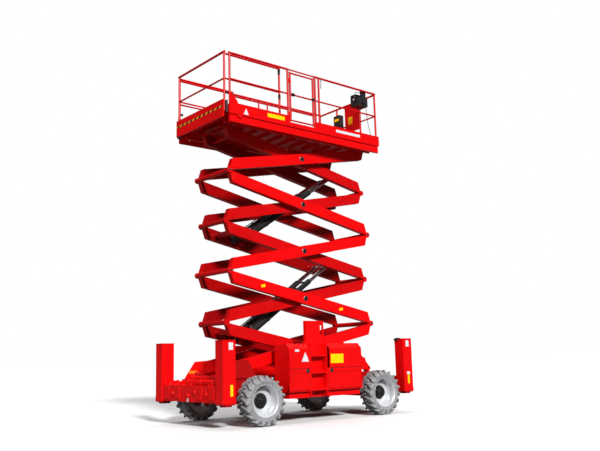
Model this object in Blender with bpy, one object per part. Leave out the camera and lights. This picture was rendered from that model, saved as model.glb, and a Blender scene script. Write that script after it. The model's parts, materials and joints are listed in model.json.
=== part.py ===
"""Rough-terrain scissor lift, half raised, with its outrigger legs drawn in.

X runs along the machine (the steered axle and the roll-out deck are at -X), Y across it
(the ladder and the gate are at -Y), Z up from the ground. Metres. The origin is on the
ground, midway between the outrigger posts.
"""
import math

import bmesh
import bpy
from mathutils import Matrix, Vector

# ---------------------------------------------------------------- driving dimensions
GAP = 0.0003                 # between pieces that rest on each other
CLEAR = 0.006                # between pieces that move past each other

WHEELBASE = 2.86
WIDTH_OVER_TYRES = 2.30
TYRE_DIAMETER = 0.838
TYRE_WIDTH = 0.31
RIM_DIAMETER = 0.535
RIM_WALL = 0.018
DISC_INSET = 0.06            # wheel disc, inboard of the tyre's middle
DISC_THICKNESS = 0.024
HUB_RADIUS = 0.115
KINGPIN_Y = 0.835
KINGPIN_RADIUS = 0.028
KNUCKLE_HEIGHT = 0.218
YOKE_HEIGHT = 0.30
STEER_ARM = 0.15             # axle centre to the steering rod
STEERING_ROD_RADIUS = 0.02
WHEEL_SIDES = 24

MACHINE_LENGTH = 4.54        # over the outrigger posts
POST_LENGTH = 0.25
POST_WIDTH = 0.22
POST_OUTER_Y = 1.10
POST_BOTTOM_Z = 0.40
POST_TOP_Z = 1.43
POST_WALL = 0.012
OUTRIGGER_BEAM_BOTTOM_Z = 0.42
OUTRIGGER_BEAM_TOP_Z = 0.70
LEG_TOP_Z = 1.34
FOOT_RADIUS = 0.10
FOOT_THICKNESS = 0.028

RAIL_INNER_Y = 0.292         # chassis side rails
RAIL_OUTER_Y = 0.56
RAIL_BOTTOM_Z = 0.50
RAIL_TOP_Z = 0.79
BELLY_THICKNESS = 0.015
AXLE_HEIGHT = 0.15
AXLE_LENGTH = 0.17

ARM_SPAN = 3.55              # pin to pin
ARM_PITCH = 0.21             # rise of one stage with the arms flat, pin to pin
ARM_DEPTH = 0.204
ARM_WIDTH = 0.11
OUTER_ARM_Y = 0.545          # outer face of the outer arms
INNER_ARM_Y = 0.415          # outer face of the inner arms
ARM_NOSE = 0.12              # how far the far corner of an arm's end is cut back
STAGES = 5
REST_ANGLE = math.radians(14.84)    # of the line from pin to pin
PIVOT_X = -1.72              # the fixed pins, one over the other
PIVOT_Z = 0.85
PIN_RADIUS = 0.045
CENTRE_PIN_RADIUS = 0.032
PIN_CAP_RADIUS = 0.056
PIN_CAP = 0.012

BOX_FRONT_X = -0.90          # the covers at the machine's sides
BOX_REAR_X = 0.84
BOX_INNER_Y = 0.70
BOX_OUTER_Y = 1.12
BOX_BOTTOM_Z = 0.42
BOX_SEAM_Z = 0.925
BOX_TOP_Z = 1.36
BOX_WALL = 0.02
BOX_CHAMFER = 0.09
BOX_PLINTH_Z = 0.53
BOX_PLINTH_INSET = 0.06
HOOD_REACH = 0.23            # wedge over the rear tyre
HOOD_TOP_Z = 1.13
HOOD_LIP = 0.03
HOOD_WIDTH = 0.32
HOOD_BOTTOM_Z = 0.868

LADDER_FRONT_X = -0.40
LADDER_REAR_X = -0.04
LADDER_DEPTH = 0.15
STEP_RISE = 0.297
LOWEST_STEP_Z = 0.565
STEP_THICKNESS = 0.03
STEP_COUNT = 3
HANDHOLD_TOP_Z = 1.77
HANDHOLD_REAR_X = 0.03

ENGINE_SIZE = (0.95, 0.32, 0.42)

DECK_FRONT_X = -1.95
DECK_REAR_X = 1.82
DECK_HALF_WIDTH = 0.90
FLOOR_THICKNESS = 0.025
TREAD_SHEET = 0.003          # chequer plate laid on the floor, behind the roll-out deck
TREAD_SHEET_INSET = 0.10
DECK_BEAM_DEPTH = 0.17
DECK_BEAM_WIDTH = 0.05
RIB_DEPTH = 0.12
TOE_HEIGHT = 0.15
TOE_THICKNESS = 0.014
RAIL_HEIGHT = 1.09           # from the floor to the top rail's centre
MID_RAIL_HEIGHT = 0.60
KNEE_RAIL_HEIGHT = 0.28
RAIL_RADIUS = 0.022
POST_RADIUS = 0.0205         # thinner than the rail above it, so that the tubes join cleanly
BAR_RADIUS = 0.017

GATE_FRONT_X = -0.585        # centres of the fixed posts that the gate hangs between
GATE_REAR_X = 0.105
GATE_POST_GAP = 0.058        # post centre to the gate's own stile
GATE_BOTTOM_HEIGHT = 0.065

EXTENSION_FRONT_X = -2.03
EXTENSION_REAR_X = -0.70
EXTENSION_HALF_WIDTH = 0.80
EXTENSION_LIFT = 0.008       # its plate above the main floor
EXTENSION_PLATE = 0.012
FASCIA_THICKNESS = 0.03
FASCIA_TOP_HEIGHT = 0.215
FASCIA_BOTTOM_HEIGHT = -0.105
END_RAIL_HEIGHT = 1.125

CABLE_RADIUS = 0.006
CABLE_TOP = (1.585, -0.795)  # where it leaves the control box
CABLE_FOOT = (1.72, -0.835)  # where it goes through the floor
CABLE_BOW = 2.4              # how late it swings out to its foot
CABLE_STEPS = 18
CABLE_STUB = 0.02            # straight length at each end

CYLINDER_Y = 0.18
BARREL_RADIUS = 0.066
SLEEVE_RADIUS = 0.052
ROD_RADIUS = 0.038
BARREL_LENGTH = 1.50
SLEEVE_STICKS_OUT = 0.06     # past the barrel, with the cylinder shut
EYE_RADIUS = 0.05
SHAFT_RADIUS = 0.03
LOWER_FOOT_SETBACK = 0.62    # foot from the upper pin of its arm
LOWER_EYE_SETBACK = 0.85     # eye from the lower pin of its arm
UPPER_FOOT_SETBACK = 0.62
UPPER_EYE_SETBACK = 0.75
SEAT_INNER_Y = 0.262         # inner end of the bosses that hold a cylinder's shafts
SEAT_RADIUS = 0.055
SHUT_LENGTH = 1.86           # foot to eye

# ---------------------------------------------------------------- worked out from them
AXLE_X = WHEELBASE / 2
AXLE_Z = TYRE_DIAMETER / 2
WHEEL_Y = WIDTH_OVER_TYRES / 2 - TYRE_WIDTH / 2
DISC_INNER_Y = WHEEL_Y - DISC_INSET - DISC_THICKNESS / 2
END_X = MACHINE_LENGTH / 2
ARM_LENGTH = math.sqrt(ARM_SPAN ** 2 - ARM_PITCH ** 2)
TILT = REST_ANGLE - math.atan2(ARM_PITCH, ARM_LENGTH)
STAGE_RISE = ARM_SPAN * math.sin(REST_ANGLE)
SLIDER_X = PIVOT_X + ARM_SPAN * math.cos(REST_ANGLE)
TOP_PIN_Z = PIVOT_Z + STAGES * STAGE_RISE
FLOOR_UNDER_Z = TOP_PIN_Z + PIN_RADIUS + GAP
FLOOR_Z = FLOOR_UNDER_Z + FLOOR_THICKNESS
RAIL_Y = DECK_HALF_WIDTH - TOE_THICKNESS - RAIL_RADIUS - GAP
CONTROLLER_BOTTOM_Z = FLOOR_Z + RAIL_HEIGHT - 0.30

CYLINDER_SEATS = {           # inner arms' stage: places along them, from the lower pin
    1: (ARM_LENGTH - LOWER_FOOT_SETBACK,),
    3: (LOWER_EYE_SETBACK, ARM_LENGTH - UPPER_FOOT_SETBACK),
    5: (UPPER_EYE_SETBACK,),
}

COLOURS = {
    "red_paint": ((0.80, 0.02, 0.02, 1), 0.35, 0.0),
    "dark_red_paint": ((0.35, 0.01, 0.01, 1), 0.5, 0.0),
    "black_paint": ((0.02, 0.02, 0.02, 1), 0.4, 0.0),
    "tyre_rubber": ((0.10, 0.10, 0.10, 1), 0.85, 0.0),
    "wheel_paint": ((0.75, 0.75, 0.76, 1), 0.35, 0.3),
    "bright_steel": ((0.70, 0.70, 0.72, 1), 0.2, 1.0),
    "black_plastic": ((0.02, 0.02, 0.02, 1), 0.5, 0.0),
}


# ---------------------------------------------------------------- tools
def clear_scene():
    for old in list(bpy.data.objects):
        bpy.data.objects.remove(old, do_unlink=True)


def new_collection(name):
    made = bpy.data.collections.new(name)
    bpy.context.scene.collection.children.link(made)
    return made


def material(name):
    if name in bpy.data.materials:
        return bpy.data.materials[name]
    colour, roughness, metallic = COLOURS[name]
    made = bpy.data.materials.new(name)
    made.use_nodes = True
    shader = made.node_tree.nodes["Principled BSDF"]
    shader.inputs["Base Color"].default_value = colour
    shader.inputs["Roughness"].default_value = roughness
    shader.inputs["Metallic"].default_value = metallic
    return made


def to_object(bm, name="shape"):
    bmesh.ops.recalc_face_normals(bm, faces=bm.faces)
    mesh = bpy.data.meshes.new(name)
    bm.to_mesh(mesh)
    bm.free()
    return bpy.data.objects.new(name, mesh)


def box(low, high):
    bm = bmesh.new()
    bmesh.ops.create_cube(bm, size=1)
    size = Vector(high) - Vector(low)
    middle = (Vector(high) + Vector(low)) / 2
    bmesh.ops.scale(bm, vec=size, verts=bm.verts)
    bmesh.ops.translate(bm, vec=middle, verts=bm.verts)
    return to_object(bm)


def cylinder(start, end, radius, sides=16, end_radius=None):
    bm = bmesh.new()
    run = Vector(end) - Vector(start)
    bmesh.ops.create_cone(bm, cap_ends=True, segments=sides, radius1=radius,
                          radius2=radius if end_radius is None else end_radius,
                          depth=run.length)
    turn = Vector((0, 0, 1)).rotation_difference(run.normalized()).to_matrix().to_4x4()
    middle = (Vector(start) + Vector(end)) / 2
    bmesh.ops.transform(bm, matrix=Matrix.Translation(middle) @ turn, verts=bm.verts)
    return to_object(bm)


def swept(points, radius, sides=8):
    """A round bar along a line of points that runs more or less in X and Z."""
    bm = bmesh.new()
    rings = []
    for before, point, after in zip(points[:1] + points[:-1], points, points[1:] + points[-1:]):
        first = (after - before).cross(Vector((0, 1, 0))).normalized()
        second = (after - before).cross(first).normalized()
        ring = []
        for n in range(sides):
            angle = 2 * math.pi * n / sides
            ring.append(bm.verts.new(point + radius * (math.cos(angle) * first + math.sin(angle) * second)))
        rings.append(ring)
    for low, high in zip(rings, rings[1:]):
        for n in range(sides):
            bm.faces.new((low[n - 1], low[n], high[n], high[n - 1]))
    bm.faces.new(rings[0])
    bm.faces.new(rings[-1])
    return to_object(bm)


def plate(outline, low_y, high_y):
    """A flat outline in X and Z, from low_y to high_y."""
    bm = bmesh.new()
    face = bm.faces.new([bm.verts.new((x, low_y, z)) for x, z in outline])
    made = bmesh.ops.extrude_face_region(bm, geom=[face])
    moved = [v for v in made["geom"] if isinstance(v, bmesh.types.BMVert)]
    bmesh.ops.translate(bm, vec=(0, high_y - low_y, 0), verts=moved)
    return to_object(bm)


def bore_radius(radius, sides=16):
    """Radius of a faceted hole in which a faceted pin can turn."""
    return (radius + GAP) / math.cos(math.pi / sides)


def turned_over(piece):
    """A copy of a shape on the machine's other side, mirrored in Y."""
    bm = bmesh.new()
    bm.from_mesh(piece.data)
    bmesh.ops.scale(bm, vec=(1, -1, 1), verts=bm.verts)
    bmesh.ops.reverse_faces(bm, faces=bm.faces)
    return to_object(bm)


def both_sides(pieces):
    return list(pieces) + [turned_over(piece) for piece in pieces]


def guides(name, pieces):
    """Shapes that a Boolean joins or cuts with, kept out of sight."""
    held = bpy.data.collections.new(name)
    guide_collection.children.link(held)
    for piece in pieces:
        piece.hide_render = True
        piece.display_type = "WIRE"
        held.objects.link(piece)
    return held


def solid(name, paint, pieces, cuts=(), at=None):
    """One named object: the first shape, joined with the rest, less the cuts."""
    made = pieces[0]
    made.name = name
    made.data.name = name
    made.data.materials.append(material(paint))
    part_collection.objects.link(made)
    for kind, shapes in (("UNION", pieces[1:]), ("DIFFERENCE", cuts)):
        if shapes:
            step = made.modifiers.new(kind.lower(), "BOOLEAN")
            step.operation = kind
            step.operand_type = "COLLECTION"
            step.solver = "EXACT"
            step.collection = guides(f"{name} {kind.lower()}", shapes)
    if at is not None:
        made.data.transform(Matrix.Translation(-Vector(at)))
        made.location = at
    return made


# ---------------------------------------------------------------- wheels and axles
def turned(profile, centre, outward, sides):
    """A solid of revolution about Y: the profile is (distance out, radius)."""
    bm = bmesh.new()
    edges = []
    verts = [bm.verts.new((0, outward * out, radius)) for out, radius in profile]
    for first, second in zip(verts, verts[1:] + verts[:1]):
        edges.append(bm.edges.new((first, second)))
    bmesh.ops.spin(bm, geom=verts + edges, cent=(0, 0, 0), axis=(0, 1, 0),
                   angle=2 * math.pi, steps=sides, use_merge=True)
    bmesh.ops.remove_doubles(bm, verts=bm.verts, dist=1e-5)
    bmesh.ops.translate(bm, vec=centre, verts=bm.verts)
    return to_object(bm)


def make_wheel(name, x, side):
    centre = Vector((x, side * WHEEL_Y, AXLE_Z))
    half = TYRE_WIDTH / 2
    outer = TYRE_DIAMETER / 2
    bead = RIM_DIAMETER / 2 - 0.012
    tyre = turned([(-half * 0.62, bead), (-half, bead + 0.03), (-half, outer - 0.06),
                   (-half * 0.8, outer), (half * 0.8, outer), (half, outer - 0.06),
                   (half, bead + 0.03), (half * 0.62, bead)], centre, side, WHEEL_SIDES)
    solid(f"{name}_tyre", "tyre_rubber", [tyre], at=centre)
    seat = bead - GAP
    well = seat - RIM_WALL
    disc_out = -DISC_INSET + DISC_THICKNESS / 2
    disc_in = -DISC_INSET - DISC_THICKNESS / 2
    rim = turned([(-half * 0.9, seat), (half * 0.9, seat), (half * 0.9, well),
                  (disc_out, well - 0.03), (disc_out, HUB_RADIUS), (half * 0.5, HUB_RADIUS * 0.9),
                  (half * 0.6, 0.0), (disc_in, 0.0), (disc_in, well - 0.03),
                  (-half * 0.9, well)], centre, side, WHEEL_SIDES)
    solid(f"{name}_rim", "wheel_paint", [rim], at=centre)


def make_front_axle():
    """Beam, yokes for the kingpins, and the barrel of the steering cylinder."""
    beam_top = AXLE_Z + AXLE_HEIGHT / 2
    half = AXLE_LENGTH / 2
    rod_x = -AXLE_X - STEER_ARM
    beam = box((-AXLE_X - half, -0.72, AXLE_Z - AXLE_HEIGHT / 2),
               (-AXLE_X + half, 0.72, beam_top))
    saddle = box((-AXLE_X - half, -RAIL_OUTER_Y, beam_top - 0.01),
                 (-AXLE_X + half, RAIL_OUTER_Y, RAIL_BOTTOM_Z - GAP))
    yoke = box((-AXLE_X - 0.045, -KINGPIN_Y - 0.04, AXLE_Z - YOKE_HEIGHT / 2),
               (-AXLE_X + 0.045, -0.70, AXLE_Z + YOKE_HEIGHT / 2))
    throat_half = KNUCKLE_HEIGHT / 2 + CLEAR
    throat = box((-AXLE_X - 0.06, -KINGPIN_Y - 0.06, AXLE_Z - throat_half),
                 (-AXLE_X + 0.06, -KINGPIN_Y + 0.08, AXLE_Z + throat_half))
    hole = cylinder((-AXLE_X, -KINGPIN_Y, AXLE_Z - 0.2), (-AXLE_X, -KINGPIN_Y, AXLE_Z + 0.2),
                    bore_radius(KINGPIN_RADIUS))
    barrel = cylinder((rod_x, -0.33, AXLE_Z), (rod_x, 0.33, AXLE_Z), 0.045)
    clamps = [box((rod_x - 0.01, y - 0.03, AXLE_Z - 0.03),
                  (-AXLE_X - half + 0.01, y + 0.03, AXLE_Z + 0.03)) for y in (-0.24, 0.24)]
    bore = cylinder((rod_x, -0.4, AXLE_Z), (rod_x, 0.4, AXLE_Z), STEERING_ROD_RADIUS + GAP)
    return solid("front_axle", "red_paint", [beam, saddle, barrel] + clamps + both_sides([yoke]),
                 both_sides([throat, hole]) + [bore])


def make_knuckle(name, side):
    x = -AXLE_X
    half = KNUCKLE_HEIGHT / 2
    body = box((x - 0.055, side * (KINGPIN_Y - 0.045), AXLE_Z - half),
               (x + 0.055, side * (KINGPIN_Y + 0.06), AXLE_Z + half))
    pin = cylinder((x, side * KINGPIN_Y, AXLE_Z - YOKE_HEIGHT / 2 - 0.01),
                   (x, side * KINGPIN_Y, AXLE_Z + YOKE_HEIGHT / 2 + 0.01), KINGPIN_RADIUS)
    spindle = cylinder((x, side * KINGPIN_Y, AXLE_Z), (x, side * (DISC_INNER_Y - GAP), AXLE_Z), 0.06)
    arm = box((x - STEER_ARM - 0.03, side * (KINGPIN_Y - 0.02), AXLE_Z - 0.105),
              (x, side * (KINGPIN_Y + 0.02), AXLE_Z - 0.075))
    return solid(name, "black_paint", [body, pin, spindle, arm], at=(x, side * KINGPIN_Y, AXLE_Z))


def make_steering_rod():
    """The steering cylinder's through rod and its two end links, under the knuckles' arms."""
    x = -AXLE_X - STEER_ARM
    link_z = AXLE_Z - 0.105 - CLEAR - 0.014
    rod = cylinder((x, -0.62, AXLE_Z), (x, 0.62, AXLE_Z), STEERING_ROD_RADIUS)
    drops = [box((x - 0.025, y - 0.02, link_z - 0.014), (x + 0.025, y + 0.02, AXLE_Z + 0.03))
             for y in (-0.61, 0.61)]
    links = [cylinder((x, s * 0.60, link_z), (x, s * (KINGPIN_Y + 0.03), link_z), 0.014, 12)
             for s in (-1, 1)]
    return solid("steering_rod", "bright_steel", [rod] + drops + links)


def make_rear_axle():
    half = AXLE_LENGTH / 2
    beam = box((AXLE_X - half, -0.72, AXLE_Z - AXLE_HEIGHT / 2),
               (AXLE_X + half, 0.72, AXLE_Z + AXLE_HEIGHT / 2))
    saddle = box((AXLE_X - half, -RAIL_OUTER_Y, AXLE_Z + AXLE_HEIGHT / 2 - 0.01),
                 (AXLE_X + half, RAIL_OUTER_Y, RAIL_BOTTOM_Z - GAP))
    hub = cylinder((AXLE_X, -0.70, AXLE_Z), (AXLE_X, -DISC_INNER_Y + GAP, AXLE_Z), 0.10)
    return solid("rear_axle", "red_paint", [beam, saddle] + both_sides([hub]))


# ---------------------------------------------------------------- chassis
def make_chassis():
    ends = END_X - POST_LENGTH + 0.02
    rail = box((-ends, -RAIL_OUTER_Y, RAIL_BOTTOM_Z), (ends, -RAIL_INNER_Y, RAIL_TOP_Z))
    belly = box((-ends, -RAIL_INNER_Y - 0.02, RAIL_BOTTOM_Z), (ends, RAIL_INNER_Y + 0.02,
                RAIL_BOTTOM_Z + BELLY_THICKNESS))
    bulkheads = [box((x - 0.03, -RAIL_INNER_Y - 0.02, RAIL_BOTTOM_Z),
                     (x + 0.03, RAIL_INNER_Y + 0.02, RAIL_TOP_Z - 0.01)) for x in (-1.9, 1.95)]
    track_top = PIVOT_Z - PIN_RADIUS - GAP
    track = box((0.02, -INNER_ARM_Y - 0.01, RAIL_TOP_Z - 0.01), (1.94, -RAIL_INNER_Y - 0.004, track_top))
    lugs = []
    for low, high in ((OUTER_ARM_Y - ARM_WIDTH - 0.016, OUTER_ARM_Y - ARM_WIDTH - 0.001),
                      (OUTER_ARM_Y + 0.001, OUTER_ARM_Y + 0.016)):
        lugs.append(plate([(PIVOT_X - 0.10, RAIL_TOP_Z - 0.02), (PIVOT_X + 0.10, RAIL_TOP_Z - 0.02),
                           (PIVOT_X + 0.05, PIVOT_Z + 0.05), (PIVOT_X - 0.05, PIVOT_Z + 0.05)],
                          -high, -low))
    boss = cylinder((PIVOT_X, -OUTER_ARM_Y - 0.022, PIVOT_Z),
                    (PIVOT_X, -OUTER_ARM_Y + ARM_WIDTH + 0.022, PIVOT_Z), PIN_RADIUS - GAP)
    brackets = [box((x - 0.15, -BOX_INNER_Y + GAP, 0.56), (x + 0.15, -RAIL_OUTER_Y + 0.01, 0.70))
                for x in (-0.6, 0.5)]
    return solid("chassis_frame", "dark_red_paint",
                 [belly] + bulkheads + both_sides([rail, track, boss] + lugs + brackets))


def make_outrigger_frame(name, end):
    """Two post sleeves and the beam between them, at one end of the chassis."""
    out = end * END_X
    back = end * (END_X - POST_LENGTH)
    low_x, high_x = min(out, back), max(out, back)
    inner_y = POST_OUTER_Y - POST_WIDTH
    post = box((low_x, -POST_OUTER_Y, POST_BOTTOM_Z), (high_x, -inner_y, POST_TOP_Z))
    bore = box((low_x + POST_WALL, -POST_OUTER_Y + POST_WALL, POST_BOTTOM_Z - 0.1),
               (high_x - POST_WALL, -inner_y - POST_WALL, POST_TOP_Z - POST_WALL))
    beam = box((low_x + 0.02, -inner_y - 0.004, OUTRIGGER_BEAM_BOTTOM_Z),
               (high_x - 0.02 - GAP, inner_y + 0.004, OUTRIGGER_BEAM_TOP_Z))
    return solid(name, "red_paint", [beam] + both_sides([post]), both_sides([bore]))


def make_leg(name, end, side):
    middle = Vector((end * (END_X - POST_LENGTH / 2), side * (POST_OUTER_Y - POST_WIDTH / 2), 0))
    half_x = POST_LENGTH / 2 - POST_WALL - 2 * GAP
    half_y = POST_WIDTH / 2 - POST_WALL - 2 * GAP
    tube = box((middle.x - half_x, middle.y - half_y, POST_BOTTOM_Z - 0.012),
               (middle.x + half_x, middle.y + half_y, LEG_TOP_Z))
    foot = cylinder((middle.x, middle.y, POST_BOTTOM_Z - 0.01 - FOOT_THICKNESS),
                    (middle.x, middle.y, POST_BOTTOM_Z - 0.01), FOOT_RADIUS, 24)
    return solid(name, "dark_red_paint", [tube, foot])


# ---------------------------------------------------------------- side boxes
def box_section(low_z, high_z, chamfered):
    """Outline of a side box across the machine, as (y, z), outer side negative."""
    outer = -BOX_OUTER_Y
    points = [(-BOX_INNER_Y, low_z), (-BOX_INNER_Y, high_z)]
    if chamfered:
        points += [(outer + BOX_CHAMFER, high_z), (outer, high_z - BOX_CHAMFER)]
    else:
        points += [(outer, high_z)]
    return points + [(outer, low_z)]


def across(outline, low_x, high_x):
    """A flat outline in Y and Z, from low_x to high_x."""
    bm = bmesh.new()
    face = bm.faces.new([bm.verts.new((low_x, y, z)) for y, z in outline])
    made = bmesh.ops.extrude_face_region(bm, geom=[face])
    moved = [v for v in made["geom"] if isinstance(v, bmesh.types.BMVert)]
    bmesh.ops.translate(bm, vec=(high_x - low_x, 0, 0), verts=moved)
    return to_object(bm)


def inset(outline, wall):
    """The same outline moved in by the wall, for a convex outline."""
    centre = Vector((sum(p[0] for p in outline), sum(p[1] for p in outline))) / len(outline)
    lines = []
    for first, second in zip(outline, outline[1:] + outline[:1]):
        along = (Vector(second) - Vector(first)).normalized()
        normal = Vector((-along.y, along.x))
        if normal.dot(centre - Vector(first)) < 0:
            normal = -normal
        lines.append((Vector(first) + normal * wall, along))
    corners = []
    for (p, d), (q, e) in zip(lines[-1:] + lines[:-1], lines):
        t = (q - p).cross(e) / d.cross(e)
        corners.append(tuple(p + d * t))
    return corners


def mirrored(pieces, side):
    return [turned_over(piece) for piece in pieces] if side > 0 else list(pieces)


def make_side_box(name, side):
    """The fixed tray of one side, with its plinth and the wedge over the rear tyre."""
    tray = across(box_section(BOX_PLINTH_Z, BOX_SEAM_Z, False), BOX_FRONT_X, BOX_REAR_X)
    plinth = box((BOX_FRONT_X + 0.02, -BOX_OUTER_Y + BOX_PLINTH_INSET, BOX_BOTTOM_Z),
                 (BOX_REAR_X - 0.02, -BOX_INNER_Y - 0.02, BOX_PLINTH_Z + 0.01))
    back = box((BOX_FRONT_X + 0.001, -BOX_INNER_Y - BOX_WALL, BOX_SEAM_Z - 0.01),
               (BOX_REAR_X - 0.001, -BOX_INNER_Y - 0.001, BOX_TOP_Z - BOX_WALL - GAP))
    reach = BOX_REAR_X + HOOD_REACH
    free_x = BOX_REAR_X + CLEAR
    wedge = plate([(BOX_REAR_X - 0.01, HOOD_BOTTOM_Z), (reach, HOOD_BOTTOM_Z),
                   (reach, HOOD_BOTTOM_Z + HOOD_LIP), (free_x, HOOD_TOP_Z),
                   (free_x, BOX_SEAM_Z - 0.01), (BOX_REAR_X - 0.01, BOX_SEAM_Z - 0.01)],
                  -BOX_OUTER_Y + 0.001, -BOX_OUTER_Y + HOOD_WIDTH)
    pieces = [tray, plinth, back, wedge]
    spans = [(BOX_FRONT_X + BOX_WALL, BOX_REAR_X - BOX_WALL)]
    cuts = []
    if side < 0:
        bay_front = LADDER_FRONT_X - BOX_WALL
        bay_rear = LADDER_REAR_X + BOX_WALL
        bay_y = -BOX_OUTER_Y + LADDER_DEPTH
        pieces.append(box((bay_front, -BOX_OUTER_Y + 0.001, BOX_BOTTOM_Z + 0.03),
                          (bay_rear, -BOX_INNER_Y - 0.002, BOX_TOP_Z - 0.001)))
        cuts.append(box((LADDER_FRONT_X, -BOX_OUTER_Y - 0.05, BOX_BOTTOM_Z - 0.05),
                        (LADDER_REAR_X, bay_y, BOX_TOP_Z + 0.05)))
        cuts.append(box((bay_front - 0.05, bay_y + BOX_WALL, BOX_PLINTH_Z + BOX_WALL),
                        (bay_rear + 0.05, -BOX_INNER_Y - BOX_WALL - 0.002, BOX_TOP_Z - BOX_WALL)))
        spans = [(BOX_FRONT_X + BOX_WALL, bay_front - 0.002), (bay_rear + 0.002, BOX_REAR_X - BOX_WALL)]
    for low_x, high_x in spans:
        cuts.append(box((low_x, -BOX_OUTER_Y + BOX_WALL, BOX_PLINTH_Z + BOX_WALL),
                        (high_x, -BOX_INNER_Y - BOX_WALL - 0.002, BOX_SEAM_Z + 0.05)))
    return solid(name, "red_paint", mirrored(pieces, side), mirrored(cuts, side))


def make_cover(name, side, low_x, high_x):
    """A hood over one end of a side box, hinged along its inner top edge."""
    outer = box_section(BOX_SEAM_Z + GAP, BOX_TOP_Z, True)
    inner = box_section(BOX_SEAM_Z - 0.1, BOX_TOP_Z, True)
    shell = across(outer, low_x, high_x)
    low_wall = BOX_WALL if low_x == BOX_FRONT_X else -BOX_WALL
    high_wall = BOX_WALL if high_x == BOX_REAR_X else -BOX_WALL
    hollow = across(inset(inner, BOX_WALL), low_x + low_wall, high_x - high_wall)
    slot = box((low_x - 0.1, -BOX_INNER_Y - BOX_WALL - CLEAR, BOX_SEAM_Z - 0.1),
               (high_x + 0.1, -BOX_INNER_Y + 0.1, BOX_TOP_Z - BOX_WALL))
    return solid(name, "red_paint", mirrored([shell], side), mirrored([hollow, slot], side),
                 at=(0, side * BOX_INNER_Y, BOX_TOP_Z))


def make_ladder():
    """Steps in the bay of the near side box, and the handhold plate above them."""
    outer_y = -BOX_OUTER_Y
    bay_y = outer_y + LADDER_DEPTH
    low_x, high_x = LADDER_FRONT_X + GAP, LADDER_REAR_X - GAP
    back = box((low_x, bay_y - 0.012, LOWEST_STEP_Z - 0.10), (high_x, bay_y - GAP, BOX_TOP_Z + 0.02))
    steps = [box((low_x, outer_y + 0.01, LOWEST_STEP_Z + n * STEP_RISE - STEP_THICKNESS),
                 (high_x, bay_y - 0.005, LOWEST_STEP_Z + n * STEP_RISE)) for n in range(STEP_COUNT)]
    panel = box((LADDER_FRONT_X, bay_y - 0.012, BOX_TOP_Z + GAP),
                (HANDHOLD_REAR_X, bay_y + 0.012, HANDHOLD_TOP_Z))
    slot = box((HANDHOLD_REAR_X - 0.085, bay_y - 0.1, BOX_TOP_Z + 0.16),
               (HANDHOLD_REAR_X - 0.035, bay_y + 0.1, HANDHOLD_TOP_Z - 0.08))
    flange = box((LADDER_FRONT_X, bay_y - 0.012, BOX_TOP_Z + GAP),
                 (LADDER_FRONT_X + 0.014, bay_y + 0.055, HANDHOLD_TOP_Z))
    return solid("ladder", "red_paint", [back, panel, flange] + steps, [slot])


def make_engine():
    length, width, height = ENGINE_SIZE
    middle_y = (BOX_OUTER_Y + BOX_INNER_Y) / 2
    middle_x = (BOX_FRONT_X + BOX_REAR_X) / 2
    bottom = BOX_PLINTH_Z + BOX_WALL + GAP
    return solid("engine_block", "black_paint",
                 [box((middle_x - length / 2, middle_y - width / 2, bottom),
                      (middle_x + length / 2, middle_y + width / 2, bottom + height))])


# ---------------------------------------------------------------- scissor arms
def pin_at(level, right):
    """Place of an end pin: level 0 is the lowest."""
    return Vector((SLIDER_X if right else PIVOT_X, 0, PIVOT_Z + level * STAGE_RISE))


def arm_outline(bite):
    """Side of an arm as (along, up), with its lower pin at (0, -pitch/2).

    A bite leaves room for the pin, which belongs to the arm below.
    """
    half = ARM_DEPTH / 2
    if bite:
        radius = bore_radius(PIN_RADIUS)
        start = math.asin((ARM_PITCH - ARM_DEPTH) / 2 / radius)
        end = math.atan2(ARM_PITCH, ARM_NOSE)
        angles = [start + (end - start) * n / 5 for n in range(6)]
        points = [(radius * math.cos(a), radius * math.sin(a) - ARM_PITCH / 2) for a in angles]
    else:
        points = [(0, -half)]
    return points + [(ARM_NOSE, half), (ARM_LENGTH, half), (ARM_LENGTH - ARM_NOSE, -half)]


def to_world(outline, lower_pin, leftwards):
    """Arm coordinates to X and Z at rest."""
    heading = -1 if leftwards else 1
    cos, sin = math.cos(TILT), math.sin(TILT)
    placed = []
    for along, up in outline:
        up += ARM_PITCH / 2
        placed.append((lower_pin.x + heading * (along * cos - up * sin),
                       lower_pin.z + along * sin + up * cos))
    return placed


def on_arm(stage, inner, along, up=0.0):
    """A point on an arm's centre line, at rest."""
    leftwards = (stage % 2 == 0) != inner
    lower_pin = pin_at(stage - 1, leftwards)
    x, z = to_world([(along, up)], lower_pin, leftwards)[0]
    return Vector((x, 0, z))


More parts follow.
